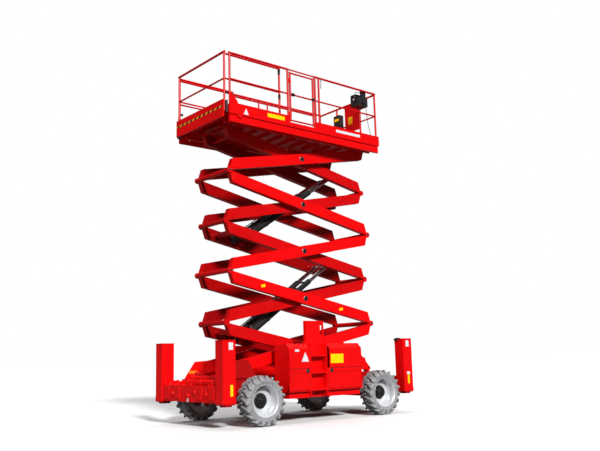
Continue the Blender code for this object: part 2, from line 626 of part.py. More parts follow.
def make_arm_frame(stage, inner):
    """The near and far arms of one stage, joined by the tube of their upper pins."""
    leftwards = (stage % 2 == 0) != inner
    lower_pin = pin_at(stage - 1, leftwards)
    upper_pin = pin_at(stage, not leftwards)
    face_y = INNER_ARM_Y if inner else OUTER_ARM_Y
    back_y = face_y - ARM_WIDTH
    rolls = inner and stage == 1
    arm = plate(to_world(arm_outline(not rolls), lower_pin, leftwards), -face_y, -back_y)
    cap_y = face_y + 0.0005
    tube = cylinder((upper_pin.x, -face_y - 0.008, upper_pin.z),
                    (upper_pin.x, face_y + 0.008, upper_pin.z), PIN_RADIUS, 16)
    pieces = [arm, turned_over(arm), tube]
    cuts = []
    if stage < STAGES:
        cap = cylinder((upper_pin.x, -cap_y - PIN_CAP, upper_pin.z),
                       (upper_pin.x, -cap_y, upper_pin.z), PIN_CAP_RADIUS, 16)
        pieces += both_sides([cap])
    if rolls:
        roller = cylinder((lower_pin.x, -face_y - 0.001, lower_pin.z),
                          (lower_pin.x, -back_y + 0.001, lower_pin.z), PIN_RADIUS, 16)
        pieces += both_sides([roller])
    centre = on_arm(stage, inner, ARM_LENGTH / 2)
    if inner:
        pin = cylinder((centre.x, -OUTER_ARM_Y - PIN_CAP, centre.z),
                       (centre.x, -face_y + 0.02, centre.z), CENTRE_PIN_RADIUS, 16)
        pieces += both_sides([pin])
        brace = on_arm(stage, inner, ARM_LENGTH - 0.28)
        pieces.append(cylinder((brace.x, -back_y - 0.01, brace.z), (brace.x, back_y + 0.01, brace.z),
                               0.04, 12))
        for along in CYLINDER_SEATS.get(stage, ()):
            seat = on_arm(stage, True, along)
            pieces += both_sides([cylinder((seat.x, -back_y - 0.01, seat.z),
                                           (seat.x, -SEAT_INNER_Y, seat.z), SEAT_RADIUS, 12)])
    else:
        hole = cylinder((centre.x, -face_y - 0.1, centre.z), (centre.x, -back_y + 0.1, centre.z),
                        bore_radius(CENTRE_PIN_RADIUS))
        cuts = both_sides([hole])
    kind = "inner" if inner else "outer"
    pivot = centre if (inner and stage == 1) else lower_pin
    return solid(f"{kind}_arms_{stage}", "red_paint", pieces, cuts, at=pivot)


# ---------------------------------------------------------------- lift cylinders
def make_lift_cylinder(name, foot, eye):
    """A twin telescopic cylinder from its foot, low on the left, to its eye."""
    along = (eye - foot).normalized()
    length = (eye - foot).length
    opened = (length - SHUT_LENGTH) / 2
    barrel_end = BARREL_LENGTH
    sleeve_end = barrel_end + SLEEVE_STICKS_OUT + opened
    reach = SEAT_INNER_Y - GAP

    def at(distance, y):
        return foot + along * distance + Vector((0, y, 0))

    def twin(start, end, radius):
        return [cylinder(at(start, y), at(end, y), radius) for y in (-CYLINDER_Y, CYLINDER_Y)]

    shaft = cylinder(at(0, -reach), at(0, reach), SHAFT_RADIUS)
    solid(f"{name}_cylinder_barrels", "black_paint",
          [shaft] + twin(-EYE_RADIUS, barrel_end, BARREL_RADIUS),
          twin(0.12, barrel_end + 0.1, SLEEVE_RADIUS + GAP))
    tie_at = sleeve_end - 0.022
    tie = cylinder(at(tie_at, -CYLINDER_Y), at(tie_at, CYLINDER_Y), 0.018, 12)
    solid(f"{name}_cylinder_sleeves", "black_paint",
          [tie] + twin(0.13 + opened, sleeve_end, SLEEVE_RADIUS),
          twin(0.18 + opened, sleeve_end + 0.1, ROD_RADIUS + GAP), at=at(tie_at, 0))
    eye_shaft = cylinder(at(length, -reach), at(length, reach), SHAFT_RADIUS)
    solid(f"{name}_cylinder_rods", "bright_steel",
          [eye_shaft] + twin(0.19 + 2 * opened, length, ROD_RADIUS), at=eye)


def make_lift_cylinders():
    make_lift_cylinder("lower", on_arm(1, True, ARM_LENGTH - LOWER_FOOT_SETBACK),
                       on_arm(3, True, LOWER_EYE_SETBACK))
    make_lift_cylinder("upper", on_arm(3, True, ARM_LENGTH - UPPER_FOOT_SETBACK),
                       on_arm(5, True, UPPER_EYE_SETBACK))


# ---------------------------------------------------------------- platform
def make_deck():
    beam_z = FLOOR_UNDER_Z - DECK_BEAM_DEPTH
    joined_z = FLOOR_UNDER_Z + 0.01
    toe_y = DECK_HALF_WIDTH
    toe_bottom = FLOOR_UNDER_Z - 0.03
    toe_top = FLOOR_Z + TOE_HEIGHT
    sill_top = FLOOR_Z + 0.03
    floor = box((DECK_FRONT_X, -toe_y, FLOOR_UNDER_Z), (DECK_REAR_X, toe_y, FLOOR_Z))
    tread = box((EXTENSION_REAR_X + 0.04, TREAD_SHEET_INSET - toe_y, FLOOR_Z - 0.001),
                (DECK_REAR_X - TREAD_SHEET_INSET, toe_y - TREAD_SHEET_INSET, FLOOR_Z + TREAD_SHEET))
    side_beam = box((DECK_FRONT_X + 0.02, -toe_y + 0.02, beam_z),
                    (DECK_REAR_X - 0.02, -toe_y + 0.02 + DECK_BEAM_WIDTH, joined_z))
    inner_beam = box((DECK_FRONT_X + 0.05, -0.66, beam_z + 0.04), (DECK_REAR_X - 0.05, -0.62, joined_z))
    ribs = []
    count = 9
    for n in range(count):
        x = DECK_FRONT_X + 0.15 + n * (DECK_REAR_X - DECK_FRONT_X - 0.3) / (count - 1)
        ribs.append(box((x - 0.02, -toe_y + 0.04, FLOOR_UNDER_Z - RIB_DEPTH), (x + 0.02, -0.64, joined_z)))
    toes = [box((low, -toe_y, toe_bottom), (high, -toe_y + TOE_THICKNESS, reach))
            for low, high, reach in ((DECK_FRONT_X, GATE_FRONT_X + 0.02, toe_top),
                                     (GATE_FRONT_X, GATE_REAR_X, sill_top),
                                     (GATE_REAR_X - 0.02, DECK_REAR_X, toe_top))]
    toes += [box((DECK_FRONT_X, toe_y - TOE_THICKNESS, toe_bottom), (DECK_REAR_X, toe_y, toe_top)),
             box((DECK_REAR_X - TOE_THICKNESS, -toe_y, FLOOR_UNDER_Z + 0.004), (DECK_REAR_X, toe_y, toe_top))]
    lugs = []
    inner_face = INNER_ARM_Y - ARM_WIDTH
    for low, high in ((inner_face - 0.016, inner_face - 0.001),
                      (INNER_ARM_Y + 0.0006, INNER_ARM_Y + 0.0075)):
        lugs.append(box((PIVOT_X - 0.07, -high, TOP_PIN_Z - 0.07), (PIVOT_X + 0.07, -low, joined_z)))
    pin_hole = cylinder((PIVOT_X, -toe_y, TOP_PIN_Z), (PIVOT_X, toe_y, TOP_PIN_Z),
                        bore_radius(PIN_RADIUS))
    pieces = [floor, tread] + toes + both_sides([side_beam, inner_beam] + ribs + lugs)
    return solid("platform_deck", "red_paint", pieces, [pin_hole], at=pin_at(STAGES, False))


def rail(start, end, radius=RAIL_RADIUS):
    return cylinder(start, end, radius, 8)


def make_side_rails(name, side, with_gate):
    y = side * RAIL_Y
    top = FLOOR_Z + RAIL_HEIGHT
    mid = FLOOR_Z + MID_RAIL_HEIGHT
    knee = FLOOR_Z + KNEE_RAIL_HEIGHT
    foot = FLOOR_Z + GAP
    front = DECK_FRONT_X + 0.03
    rear = DECK_REAR_X - 0.05
    sections = [(front, GATE_FRONT_X), (GATE_REAR_X, rear)] if with_gate else [(front, rear)]
    pieces = []
    posts = []
    for low, high in sections:
        pieces.append(rail((low - 0.021, y, top), (high + 0.021, y, top)))
        pieces.append(rail((low, y, mid), (high, y, mid), BAR_RADIUS))
        posts += [low, high]
    if with_gate:
        posts.append(GATE_REAR_X + 0.10)
        pieces.append(rail((GATE_FRONT_X, y, top), (GATE_REAR_X, y, top), BAR_RADIUS - 0.002))
        pieces.append(rail((front, y, knee), (GATE_FRONT_X, y, knee), BAR_RADIUS))
        pieces += [rail((x, y, foot), (x, y, knee - 0.003), BAR_RADIUS - 0.002)
                   for x in (-1.28, -1.08)]
        hinge_x = GATE_FRONT_X + GATE_POST_GAP - POST_RADIUS - GAP
        pieces += [box((GATE_FRONT_X + 0.004, y - 0.011, FLOOR_Z + height),
                       (hinge_x, y + 0.011, FLOOR_Z + height + 0.06)) for height in (0.18, 0.85)]
    pieces += [rail((x, y, foot), (x, y, top - 0.004), POST_RADIUS) for x in posts]
    return solid(name, "red_paint", pieces)


def make_rear_rails():
    x = DECK_REAR_X - 0.05
    y = RAIL_Y - RAIL_RADIUS - GAP
    top = FLOOR_Z + RAIL_HEIGHT - 0.02
    mid = FLOOR_Z + MID_RAIL_HEIGHT
    pieces = [rail((x, -y, top), (x, y, top)), rail((x, -y, mid), (x, y, mid), BAR_RADIUS)]
    pieces += [rail((x, post_y, FLOOR_Z + GAP), (x, post_y, top - 0.004), POST_RADIUS)
               for post_y in (-0.42, 0.30)]
    pieces.append(box((x - 0.009, -0.415, FLOOR_Z + 0.45), (x + 0.009, 0.04, top - 0.006)))
    return solid("rear_rails", "red_paint", pieces)


def make_gate():
    y = -RAIL_Y
    low_x = GATE_FRONT_X + GATE_POST_GAP
    high_x = GATE_REAR_X - GATE_POST_GAP
    bottom = FLOOR_Z + GATE_BOTTOM_HEIGHT
    top = FLOOR_Z + RAIL_HEIGHT - RAIL_RADIUS - 0.02
    pieces = [rail((x, y, bottom), (x, y, top), POST_RADIUS) for x in (low_x, high_x)]
    for height in (bottom + 0.02, FLOOR_Z + KNEE_RAIL_HEIGHT, FLOOR_Z + MID_RAIL_HEIGHT, top - 0.02):
        pieces.append(rail((low_x, y, height), (high_x, y, height), BAR_RADIUS))
    return solid("entry_gate", "red_paint", pieces, at=(low_x, y, bottom))


def make_extension():
    y = EXTENSION_HALF_WIDTH
    floor_z = FLOOR_Z + EXTENSION_LIFT
    front = EXTENSION_FRONT_X
    sheet = box((front + 0.01, -y, floor_z - 0.002), (EXTENSION_REAR_X, y, floor_z + EXTENSION_PLATE))
    runner = box((DECK_FRONT_X + 0.01, -y, FLOOR_Z + GAP), (EXTENSION_REAR_X, -y + 0.03, floor_z))
    fascia = box((front, -y, FLOOR_Z + FASCIA_BOTTOM_HEIGHT),
                 (front + FASCIA_THICKNESS, y, FLOOR_Z + FASCIA_TOP_HEIGHT))
    return solid("extension_deck", "red_paint", [sheet, fascia] + both_sides([runner]))


def make_extension_rails():
    y = EXTENSION_HALF_WIDTH - RAIL_RADIUS
    front = EXTENSION_FRONT_X + FASCIA_THICKNESS + RAIL_RADIUS + GAP
    rear = EXTENSION_REAR_X - RAIL_RADIUS
    foot = FLOOR_Z + EXTENSION_LIFT + EXTENSION_PLATE + GAP
    top = FLOOR_Z + END_RAIL_HEIGHT
    side_top = top - 0.035
    mid = FLOOR_Z + MID_RAIL_HEIGHT + 0.02
    pieces = [rail((front, -y - 0.021, top), (front, y + 0.021, top)),
              rail((front, -y, mid), (front, y, mid), BAR_RADIUS)]
    side = [rail((front, -y, side_top), (rear + 0.021, -y, side_top), RAIL_RADIUS - 0.003),
            rail((front, -y, mid), (rear, -y, mid), BAR_RADIUS)]
    side += [rail((x, -y, foot), (x, -y, reach - 0.004), POST_RADIUS)
             for x, reach in ((front, top), (rear, side_top))]
    return solid("extension_rails", "red_paint", pieces + both_sides(side))


def make_controller():
    y = -RAIL_Y + RAIL_RADIUS
    top = FLOOR_Z + RAIL_HEIGHT
    body = box((1.34, y + 0.03, CONTROLLER_BOTTOM_Z), (1.62, y + 0.25, top - 0.12))
    panel = box((1.34, y + 0.10, top - 0.13), (1.62, y + 0.25, top - 0.05))
    hanger = box((1.42, y + GAP, top - 0.25), (1.54, y + 0.05, top + 0.02))
    return solid("platform_controller", "black_plastic", [body, panel, hanger])


def make_control_cable():
    """From the control box down to the floor, bowing out towards its foot."""
    top = Vector((*CABLE_TOP, CONTROLLER_BOTTOM_Z - GAP))
    foot = Vector((*CABLE_FOOT, FLOOR_Z + GAP))
    high = top.z - CABLE_STUB
    low = foot.z + CABLE_STUB
    points = [top]
    for n in range(CABLE_STEPS + 1):
        share = n / CABLE_STEPS
        points.append(Vector((top.x + (foot.x - top.x) * share ** CABLE_BOW,
                              top.y + (foot.y - top.y) * share,
                              high + (low - high) * share)))
    points += [foot + Vector((0, 0, CABLE_STUB / 2)), foot]
    return solid("control_cable", "black_plastic", [swept(points, CABLE_RADIUS)])


def make_document_box():
    back_x = DECK_REAR_X - 0.05 - BAR_RADIUS - GAP
    low = FLOOR_Z + MID_RAIL_HEIGHT - 0.04
    return solid("document_box", "black_plastic",
                 [box((back_x - 0.115, 0.08, low), (back_x, 0.27, low + 0.31))])


# ---------------------------------------------------------------- the machine
clear_scene()
part_collection = new_collection("scissor_lift")
guide_collection = new_collection("guides")

for end_name, end_sign in (("front", -1), ("rear", 1)):
    for side_name, side_sign in (("right", -1), ("left", 1)):
        make_wheel(f"{end_name}_{side_name}", end_sign * AXLE_X, side_sign)
        make_leg(f"{end_name}_{side_name}_leg", end_sign, side_sign)
    make_outrigger_frame(f"{end_name}_outrigger_frame", end_sign)
make_front_axle()
make_rear_axle()
make_knuckle("right_knuckle", -1)
make_knuckle("left_knuckle", 1)
make_steering_rod()
make_chassis()
for side_name, side_sign in (("right", -1), ("left", 1)):
    make_side_box(f"{side_name}_side_box", side_sign)
make_cover("right_front_cover", -1, BOX_FRONT_X, LADDER_FRONT_X - BOX_WALL - CLEAR)
make_cover("right_rear_cover", -1, HANDHOLD_REAR_X + CLEAR, BOX_REAR_X)
make_cover("left_front_cover", 1, BOX_FRONT_X, -0.03 - CLEAR / 2)
make_cover("left_rear_cover", 1, -0.03 + CLEAR / 2, BOX_REAR_X)
make_ladder()
make_engine()
for stage_number in range(1, STAGES + 1):
    make_arm_frame(stage_number, False)
    make_arm_frame(stage_number, True)
make_lift_cylinders()
make_deck()
make_side_rails("right_rails", -1, True)
make_side_rails("left_rails", 1, False)
make_rear_rails()
make_gate()
make_extension()
make_extension_rails()
make_controller()
make_control_cable()
make_document_box()
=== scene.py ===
"""Looks of the rough-terrain scissor lift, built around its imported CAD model.

Metres, in the CAD's frame: X along the machine (steered end at -X), the ladder side at -Y, Z up.
"""
import json
import math

import bmesh
import bpy
from mathutils import Matrix, Vector


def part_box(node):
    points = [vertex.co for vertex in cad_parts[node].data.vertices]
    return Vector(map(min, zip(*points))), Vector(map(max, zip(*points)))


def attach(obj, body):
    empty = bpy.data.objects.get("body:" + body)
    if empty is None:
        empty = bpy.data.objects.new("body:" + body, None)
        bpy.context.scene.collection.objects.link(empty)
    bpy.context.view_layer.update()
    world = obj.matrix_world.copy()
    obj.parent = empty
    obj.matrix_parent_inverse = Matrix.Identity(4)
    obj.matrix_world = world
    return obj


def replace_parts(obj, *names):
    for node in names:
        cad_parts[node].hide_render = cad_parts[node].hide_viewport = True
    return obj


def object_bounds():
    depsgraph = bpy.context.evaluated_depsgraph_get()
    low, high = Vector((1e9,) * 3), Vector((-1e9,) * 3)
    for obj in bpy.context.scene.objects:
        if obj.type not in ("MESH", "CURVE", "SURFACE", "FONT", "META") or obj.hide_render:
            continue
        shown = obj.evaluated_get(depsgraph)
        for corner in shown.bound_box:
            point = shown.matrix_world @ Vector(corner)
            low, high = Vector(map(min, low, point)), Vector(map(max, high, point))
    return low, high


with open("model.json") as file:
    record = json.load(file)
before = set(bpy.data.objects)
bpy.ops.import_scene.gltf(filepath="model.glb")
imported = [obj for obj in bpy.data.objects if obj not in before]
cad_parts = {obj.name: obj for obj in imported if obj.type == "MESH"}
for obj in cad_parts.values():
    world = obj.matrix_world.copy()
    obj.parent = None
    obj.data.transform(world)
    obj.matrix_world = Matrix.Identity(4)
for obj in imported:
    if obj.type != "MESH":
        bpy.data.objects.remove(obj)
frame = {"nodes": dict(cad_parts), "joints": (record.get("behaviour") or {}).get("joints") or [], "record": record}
cad_low, cad_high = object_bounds()

# ---- camera
CAMERA_AT = (-9.0372, -11.1991, 1.1601)
CAMERA_YAW = 0.698
CAMERA_PITCH = 0.1744
CAMERA_ROLL = -0.0265
LENS_MM = 44.13

# ---- sizes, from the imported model
JOINTS = {joint["name"]: joint for joint in frame["joints"]}
STAGES = 5
PIVOT_X, _, PIVOT_Z = JOINTS["lift"]["pos_m"]
SLIDER_X = JOINTS["outer_arms_2_turn"]["pos_m"][0]
STAGE_RISE = (JOINTS["platform_turn"]["pos_m"][2] - PIVOT_Z) / STAGES
ARM_PITCH = 0.21
ARM_SPAN = math.hypot(SLIDER_X - PIVOT_X, STAGE_RISE)
ARM_LENGTH = math.sqrt(ARM_SPAN ** 2 - ARM_PITCH ** 2)
TILT = math.atan2(STAGE_RISE, SLIDER_X - PIVOT_X) - math.atan2(ARM_PITCH, ARM_LENGTH)
OUTER_FACE_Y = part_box("outer_arms_5")[1].y - 0.008    # outer faces of the outer and the inner arms
INNER_FACE_Y = 0.415

AXLE_Z = JOINTS["rear_right_wheel_spin"]["pos_m"][2]
WHEEL_Y = JOINTS["rear_left_wheel_spin"]["pos_m"][1]
AXLE_X = JOINTS["rear_left_wheel_spin"]["pos_m"][0]
TYRE_RADIUS = AXLE_Z
TYRE_HALF = (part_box("rear_left_tyre")[1].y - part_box("rear_left_tyre")[0].y) / 2

DECK_LOW, DECK_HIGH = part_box("platform_deck")
FLOOR_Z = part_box("right_rails")[0].z
DECK_FLOOR_TOP = FLOOR_Z + 0.0030
GATE_NEAR_X, GATE_FAR_X = -0.575, 0.095               # where the near toe board stops for the gate

BOX_OUTER_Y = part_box("left_side_box")[1].y
BOX_REAR_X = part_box("right_rear_cover")[1].x
BOX_FRONT_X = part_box("right_front_cover")[0].x
SEAM_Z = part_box("right_front_cover")[0].z             # where the covers meet the boxes
COVER_HINGE_Y = 0.70

POST_LENGTH = 0.25
POST_INNER_Y = 0.88
POST_OUTER_Y = 1.10
END_X = cad_high[0]
POST_TOP_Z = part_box("front_outrigger_frame")[1].z
BEAM_TUBES = ((-2.185, 0.748, 0.046, 0.13), (-2.075, 0.815, 0.040, 0.16))   # x, z, radius, far end in Y
BEAM_TUBE_NEAR_Y = -0.875

CYLINDER_Y = 0.18
CYLINDER_STAGE = {"lower": 1, "upper": 3}             # the inner arms that hold each barrel's foot
FOOT_SETBACK = 0.62
BARREL_LENGTH = 1.50
BARREL_RADIUS = 0.066

STICKER = 0.0012                                      # how far a label stands off its panel
TO_RIGHT, TO_LEFT, TO_FRONT = (0, -1, 0), (0, 1, 0), (-1, 0, 0)


# ---- materials
class Nodes:
    """Short hand for building one material's node tree."""

    def __init__(self, name):
        self.material = bpy.data.materials.new(name)
        self.material.use_nodes = True
        self.tree = self.material.node_tree
        self.shader = self.tree.nodes["Principled BSDF"]
        coordinates = self.tree.nodes.new("ShaderNodeTexCoord")
        self.place = coordinates.outputs["Object"]
        self.facing = coordinates.outputs["Normal"]

    def node(self, kind, **values):
        made = self.tree.nodes.new(kind)
        for key, value in values.items():
            if key in made.inputs:
                made.inputs[key].default_value = value
            else:
                setattr(made, key, value)
        return made

    def link(self, source, target):
        self.tree.links.new(source, target)

    def noise(self, scale, detail=4.0, roughness=0.55):
        made = self.node("ShaderNodeTexNoise")
        made.inputs["Scale"].default_value = scale
        made.inputs["Detail"].default_value = detail
        made.inputs["Roughness"].default_value = roughness
        self.link(self.place, made.inputs["Vector"])
        return made.outputs["Fac"]

    def ramp(self, factor, stops):
        made = self.node("ShaderNodeValToRGB")
        elements = made.color_ramp.elements
        while len(elements) < len(stops):
            elements.new(0.5)
        for element, (where, colour) in zip(elements, stops):
            element.position = where
            element.color = colour
        self.link(factor, made.inputs["Fac"])
        return made.outputs["Color"]

    def times(self, first, second):
        made = self.node("ShaderNodeMix", data_type="RGBA", blend_type="MULTIPLY")
        made.inputs[0].default_value = 1.0
        self.link(first, made.inputs[6])
        self.link(second, made.inputs[7])
        return made.outputs[2]

    def maths(self, operation, *values):
        made = self.node("ShaderNodeMath", operation=operation)
        for socket, value in zip(made.inputs, values):
            if isinstance(value, (int, float)):
                socket.default_value = value
            else:
                self.link(value, socket)
        return made.outputs[0]

    def split(self, vector):
        made = self.node("ShaderNodeSeparateXYZ")
        self.link(vector, made.inputs["Vector"])
        return made.outputs

    def outward(self):
        """0 on faces turned to the machine's middle plane, 0.5 on level ones, 1 on faces turned away."""
        side = self.maths("SIGN", self.split(self.place)["Y"])
        product = self.maths("MULTIPLY", side, self.split(self.facing)["Y"])
        return self.maths("MULTIPLY_ADD", product, 0.5, 0.5)

    def set(self, **values):
        for key, value in values.items():
            self.shader.inputs[key.replace("_", " ")].default_value = value

    def bump(self, height, strength, distance):
        made = self.node("ShaderNodeBump")
        made.inputs["Strength"].default_value = strength
        made.inputs["Distance"].default_value = distance
        self.link(height, made.inputs["Height"])
        self.link(made.outputs["Normal"], self.shader.inputs["Normal"])


def grey(value):
    return (value, value, value, 1)


def tinted(colour, factor):
    return (colour[0] * factor, colour[1] * factor, colour[2] * factor, 1)


def paint(name, colour, roughness, metallic=0.0, coat=0.08, dirt=0.10, inside_shade=1.0):
    """Sprayed paint: faint mottling, orange peel and a little dust in its sheen.

    When its last argument is under 1, faces turned to the machine's middle are that much darker: painted shade.
    """
    m = Nodes(name)
    base = m.ramp(m.noise(2.3, 5.0), [(0.30, tinted(colour, 1 - dirt)), (0.70, tinted(colour, 1.0))])
    # painted shade on faces turned to the machine's middle
    if inside_shade < 1.0:
        painted_shade = m.ramp(m.outward(), [(0.15, grey(inside_shade)), (0.50, grey((1 + inside_shade) / 2)), (0.85, grey(1.0))])
        base = m.times(base, painted_shade)
    m.link(base, m.shader.inputs["Base Color"])
    m.link(m.ramp(m.noise(9.0), [(0.25, grey(roughness * 0.85)), (0.75, grey(roughness * 1.25))]),
           m.shader.inputs["Roughness"])
    m.bump(m.noise(420.0, 2.0), 0.05, 0.0006)
    m.set(Metallic=metallic, Coat_Weight=coat, Coat_Roughness=0.15, Specular_IOR_Level=0.25)
    return m.material


def rubber(name, colour):
    """Tyre rubber, pale, with blotches of dust."""
    m = Nodes(name)
    dust = m.noise(16.0, 6.0, 0.7)
    m.link(m.ramp(dust, [(0.28, tinted(colour, 0.55)), (0.72, tinted(colour, 1.25))]),
           m.shader.inputs["Base Color"])
    m.bump(m.noise(140.0, 4.0), 0.25, 0.002)
    m.set(Roughness=0.78)
    return m.material


def metal(name, colour, roughness):
    """Machined steel with fine turning marks."""
    m = Nodes(name)
    m.link(m.ramp(m.noise(60.0, 3.0), [(0.3, grey(roughness * 0.7)), (0.7, grey(roughness * 1.5))]),
           m.shader.inputs["Roughness"])
    m.link(m.ramp(m.noise(7.0), [(0.3, tinted(colour, 0.85)), (0.7, tinted(colour, 1.0))]),
           m.shader.inputs["Base Color"])
    m.set(Metallic=1.0)
    return m.material


def plastic(name, colour, roughness, grain=0.15):
    m = Nodes(name)
    m.link(m.ramp(m.noise(12.0), [(0.3, tinted(colour, 0.8)), (0.7, tinted(colour, 1.15))]),
           m.shader.inputs["Base Color"])
    m.bump(m.noise(600.0, 2.0), grain, 0.0006)
    m.set(Roughness=roughness)
    return m.material


def sticker(name, colour, edge):
    """Printed vinyl: blank, with faint blotches of print left unreadable."""
    m = Nodes(name)
    m.link(m.ramp(m.noise(38.0, 1.0), [(0.42, colour), (0.62, edge)]), m.shader.inputs["Base Color"])
    m.set(Roughness=0.35)
    return m.material


def hazard(name, pitch):
    """Black and yellow slanted stripes, along Y and Z."""
    m = Nodes(name)
    place = m.split(m.place)
    band = m.maths("FRACT", m.maths("DIVIDE", m.maths("ADD", place["Z"], place["Y"]), pitch))
    m.link(m.ramp(m.maths("GREATER_THAN", band, 0.5), [(0.0, (0.85, 0.42, 0.02, 1)),
                                                       (1.0, (0.015, 0.013, 0.013, 1))]),
           m.shader.inputs["Base Color"])
    m.set(Roughness=0.4)
    return m.material


RED = paint("red paint", (0.88, 0.002, 0.003), 0.30)
SHADE_RED = paint("red paint in the shade", (0.42, 0.002, 0.003), 0.40)
RAIL_RED = paint("red paint of the platform", (0.68, 0.003, 0.006), 0.34)
# The arm paints carry painted shade on faces turned to the machine's middle; the inner arms' red is also darker
# overall, as painted shade.
ARM_RED = paint("red paint of the outer arms", (0.88, 0.002, 0.003), 0.30, inside_shade=0.48)
SHADED_INNER_ARM_RED = paint("red paint of the inner arms", (0.66, 0.002, 0.003), 0.32, inside_shade=0.50)
BLACK = paint("black paint", (0.016, 0.016, 0.017), 0.38, coat=0.15)
RIM = paint("wheel paint", (0.78, 0.79, 0.81), 0.30, metallic=0.35)
TYRE = rubber("tyre rubber", (0.33, 0.33, 0.34))
STEEL = metal("bright steel", (0.74, 0.74, 0.76), 0.18)
BOLT = metal("zinc bolts", (0.55, 0.55, 0.56), 0.30)
PLASTIC = plastic("black plastic", (0.018, 0.018, 0.020), 0.45)
HOSE = plastic("hose rubber", (0.012, 0.012, 0.013), 0.55, grain=0.3)
YELLOW = sticker("yellow label", (1.0, 0.74, 0.0, 1), (0.92, 0.60, 0.0, 1))
WHITE = sticker("white label", (0.85, 0.86, 0.88, 1), (0.62, 0.68, 0.74, 1))
ORANGE = sticker("orange label", (0.95, 0.28, 0.01, 1), (0.85, 0.18, 0.01, 1))
HAZARD = hazard("hazard stripes", 0.15)

FINISH = {"red": RED, "black": BLACK, "tyre": TYRE, "rim": RIM, "steel": STEEL, "plastic": PLASTIC}


# ---- mesh tools
def new_object(bm, name, material, smooth=False):
    bmesh.ops.recalc_face_normals(bm, faces=bm.faces)
    mesh = bpy.data.meshes.new(name)
    bm.to_mesh(mesh)
    bm.free()
    made = bpy.data.objects.new(name, mesh)
    bpy.context.scene.collection.objects.link(made)
    made.data.materials.append(material)
    if smooth:
        for polygon in mesh.polygons:
            polygon.use_smooth = True
    return made


def add_bevel(obj, width, segments=2, angle=35):
    step = obj.modifiers.new("round edges", "BEVEL")
    step.width = width
    step.segments = segments
    step.limit_method = "ANGLE"
    step.angle_limit = math.radians(angle)
    step.use_clamp_overlap = True
    return step


def add_box(bm, low, high, turn=None):
    low, high = Vector(low), Vector(high)
    made = bmesh.ops.create_cube(bm, size=1)["verts"]
    bmesh.ops.scale(bm, vec=high - low, verts=made)
    bmesh.ops.translate(bm, vec=(high + low) / 2, verts=made)
    if turn is not None:
        bmesh.ops.transform(bm, matrix=turn, verts=made)
    return made


def add_cylinder(bm, start, end, radius, sides=24, end_radius=None):
    run = Vector(end) - Vector(start)
    made = bmesh.ops.create_cone(bm, cap_ends=True, segments=sides, radius1=radius,
                                 radius2=radius if end_radius is None else end_radius,
                                 depth=run.length)["verts"]
    turn = Vector((0, 0, 1)).rotation_difference(run.normalized()).to_matrix().to_4x4()
    middle = (Vector(start) + Vector(end)) / 2
    bmesh.ops.transform(bm, matrix=Matrix.Translation(middle) @ turn, verts=made)
    return made


def add_prism(bm, outline, low_y, high_y, turn=None):
    """An outline in X and Z, drawn out along Y."""
    verts = [bm.verts.new((x, low_y, z)) for x, z in outline]
    made = bmesh.ops.extrude_face_region(bm, geom=[bm.faces.new(verts)])
    moved = [v for v in made["geom"] if isinstance(v, bmesh.types.BMVert)]
    bmesh.ops.translate(bm, vec=(0, high_y - low_y, 0), verts=moved)
    if turn is not None:
        bmesh.ops.transform(bm, matrix=turn, verts=verts + moved)
    return verts + moved


def add_lathe(bm, profile, centre, outward, sides):
    """A solid of revolution about Y: the profile is (distance out, radius)."""
    rings = []
    for out, radius in profile:
        ring = []
        for n in range(sides):
            angle = 2 * math.pi * n / sides
            ring.append(bm.verts.new((centre[0] + radius * math.sin(angle), centre[1] + outward * out,
                                      centre[2] + radius * math.cos(angle))))
        rings.append(ring)
    for first, second in zip(rings, rings[1:] + rings[:1]):
        for n in range(sides):
            m = (n + 1) % sides
            bm.faces.new((first[n], first[m], second[m], second[n]))


def piece(name, body, finish, fill, bevel=0.0, segments=2, smooth=False, material=None):
    """One visible piece: fill(bm) draws it, and it rides on the body."""
    bm = bmesh.new()
    fill(bm)
    made = new_object(bm, name, material or FINISH[finish], smooth)
    if bevel:
        add_bevel(made, bevel, segments)
    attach(made, body)
    return made


def tube(name, body, finish, points, radius, material=None, sides=3):
    """A hose or bar along a smooth line through the points."""
    curve = bpy.data.curves.new(name, "CURVE")
    curve.dimensions = "3D"
    curve.bevel_depth = radius
    curve.bevel_resolution = sides
    curve.use_fill_caps = True
    curve.resolution_u = 8
    spline = curve.splines.new("BEZIER")
    spline.bezier_points.add(len(points) - 1)
    for point, where in zip(spline.bezier_points, points):
        point.co = where
        point.handle_left_type = "AUTO"
        point.handle_right_type = "AUTO"
    made = bpy.data.objects.new(name, curve)
    bpy.context.scene.collection.objects.link(made)
    made.data.materials.append(material or FINISH[finish])
    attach(made, body)
    return made


# ---- places on the scissor arms
def pin_at(level, right):
    return Vector((SLIDER_X if right else PIVOT_X, 0, PIVOT_Z + level * STAGE_RISE))


def goes_left(stage, inner):
    return (stage % 2 == 0) != inner


def arm_frame(stage, inner):
    """Matrix from an arm's own axes (X along it from its lower pin, Z up) to the machine's."""
    left = goes_left(stage, inner)
    heading = -1 if left else 1
    pin = pin_at(stage - 1, left)
    along = Vector((heading * math.cos(TILT), 0, math.sin(TILT)))
    up = Vector((-heading * math.sin(TILT), 0, math.cos(TILT)))
    middle = pin + up * ARM_PITCH / 2
    return Matrix(((along.x, 0, up.x, middle.x), (0, 1, 0, 0),
                   (along.z, 0, up.z, middle.z), (0, 0, 0, 1)))


def arm_body(stage, inner):
    return f"{'inner' if inner else 'outer'}_arms_{stage}"


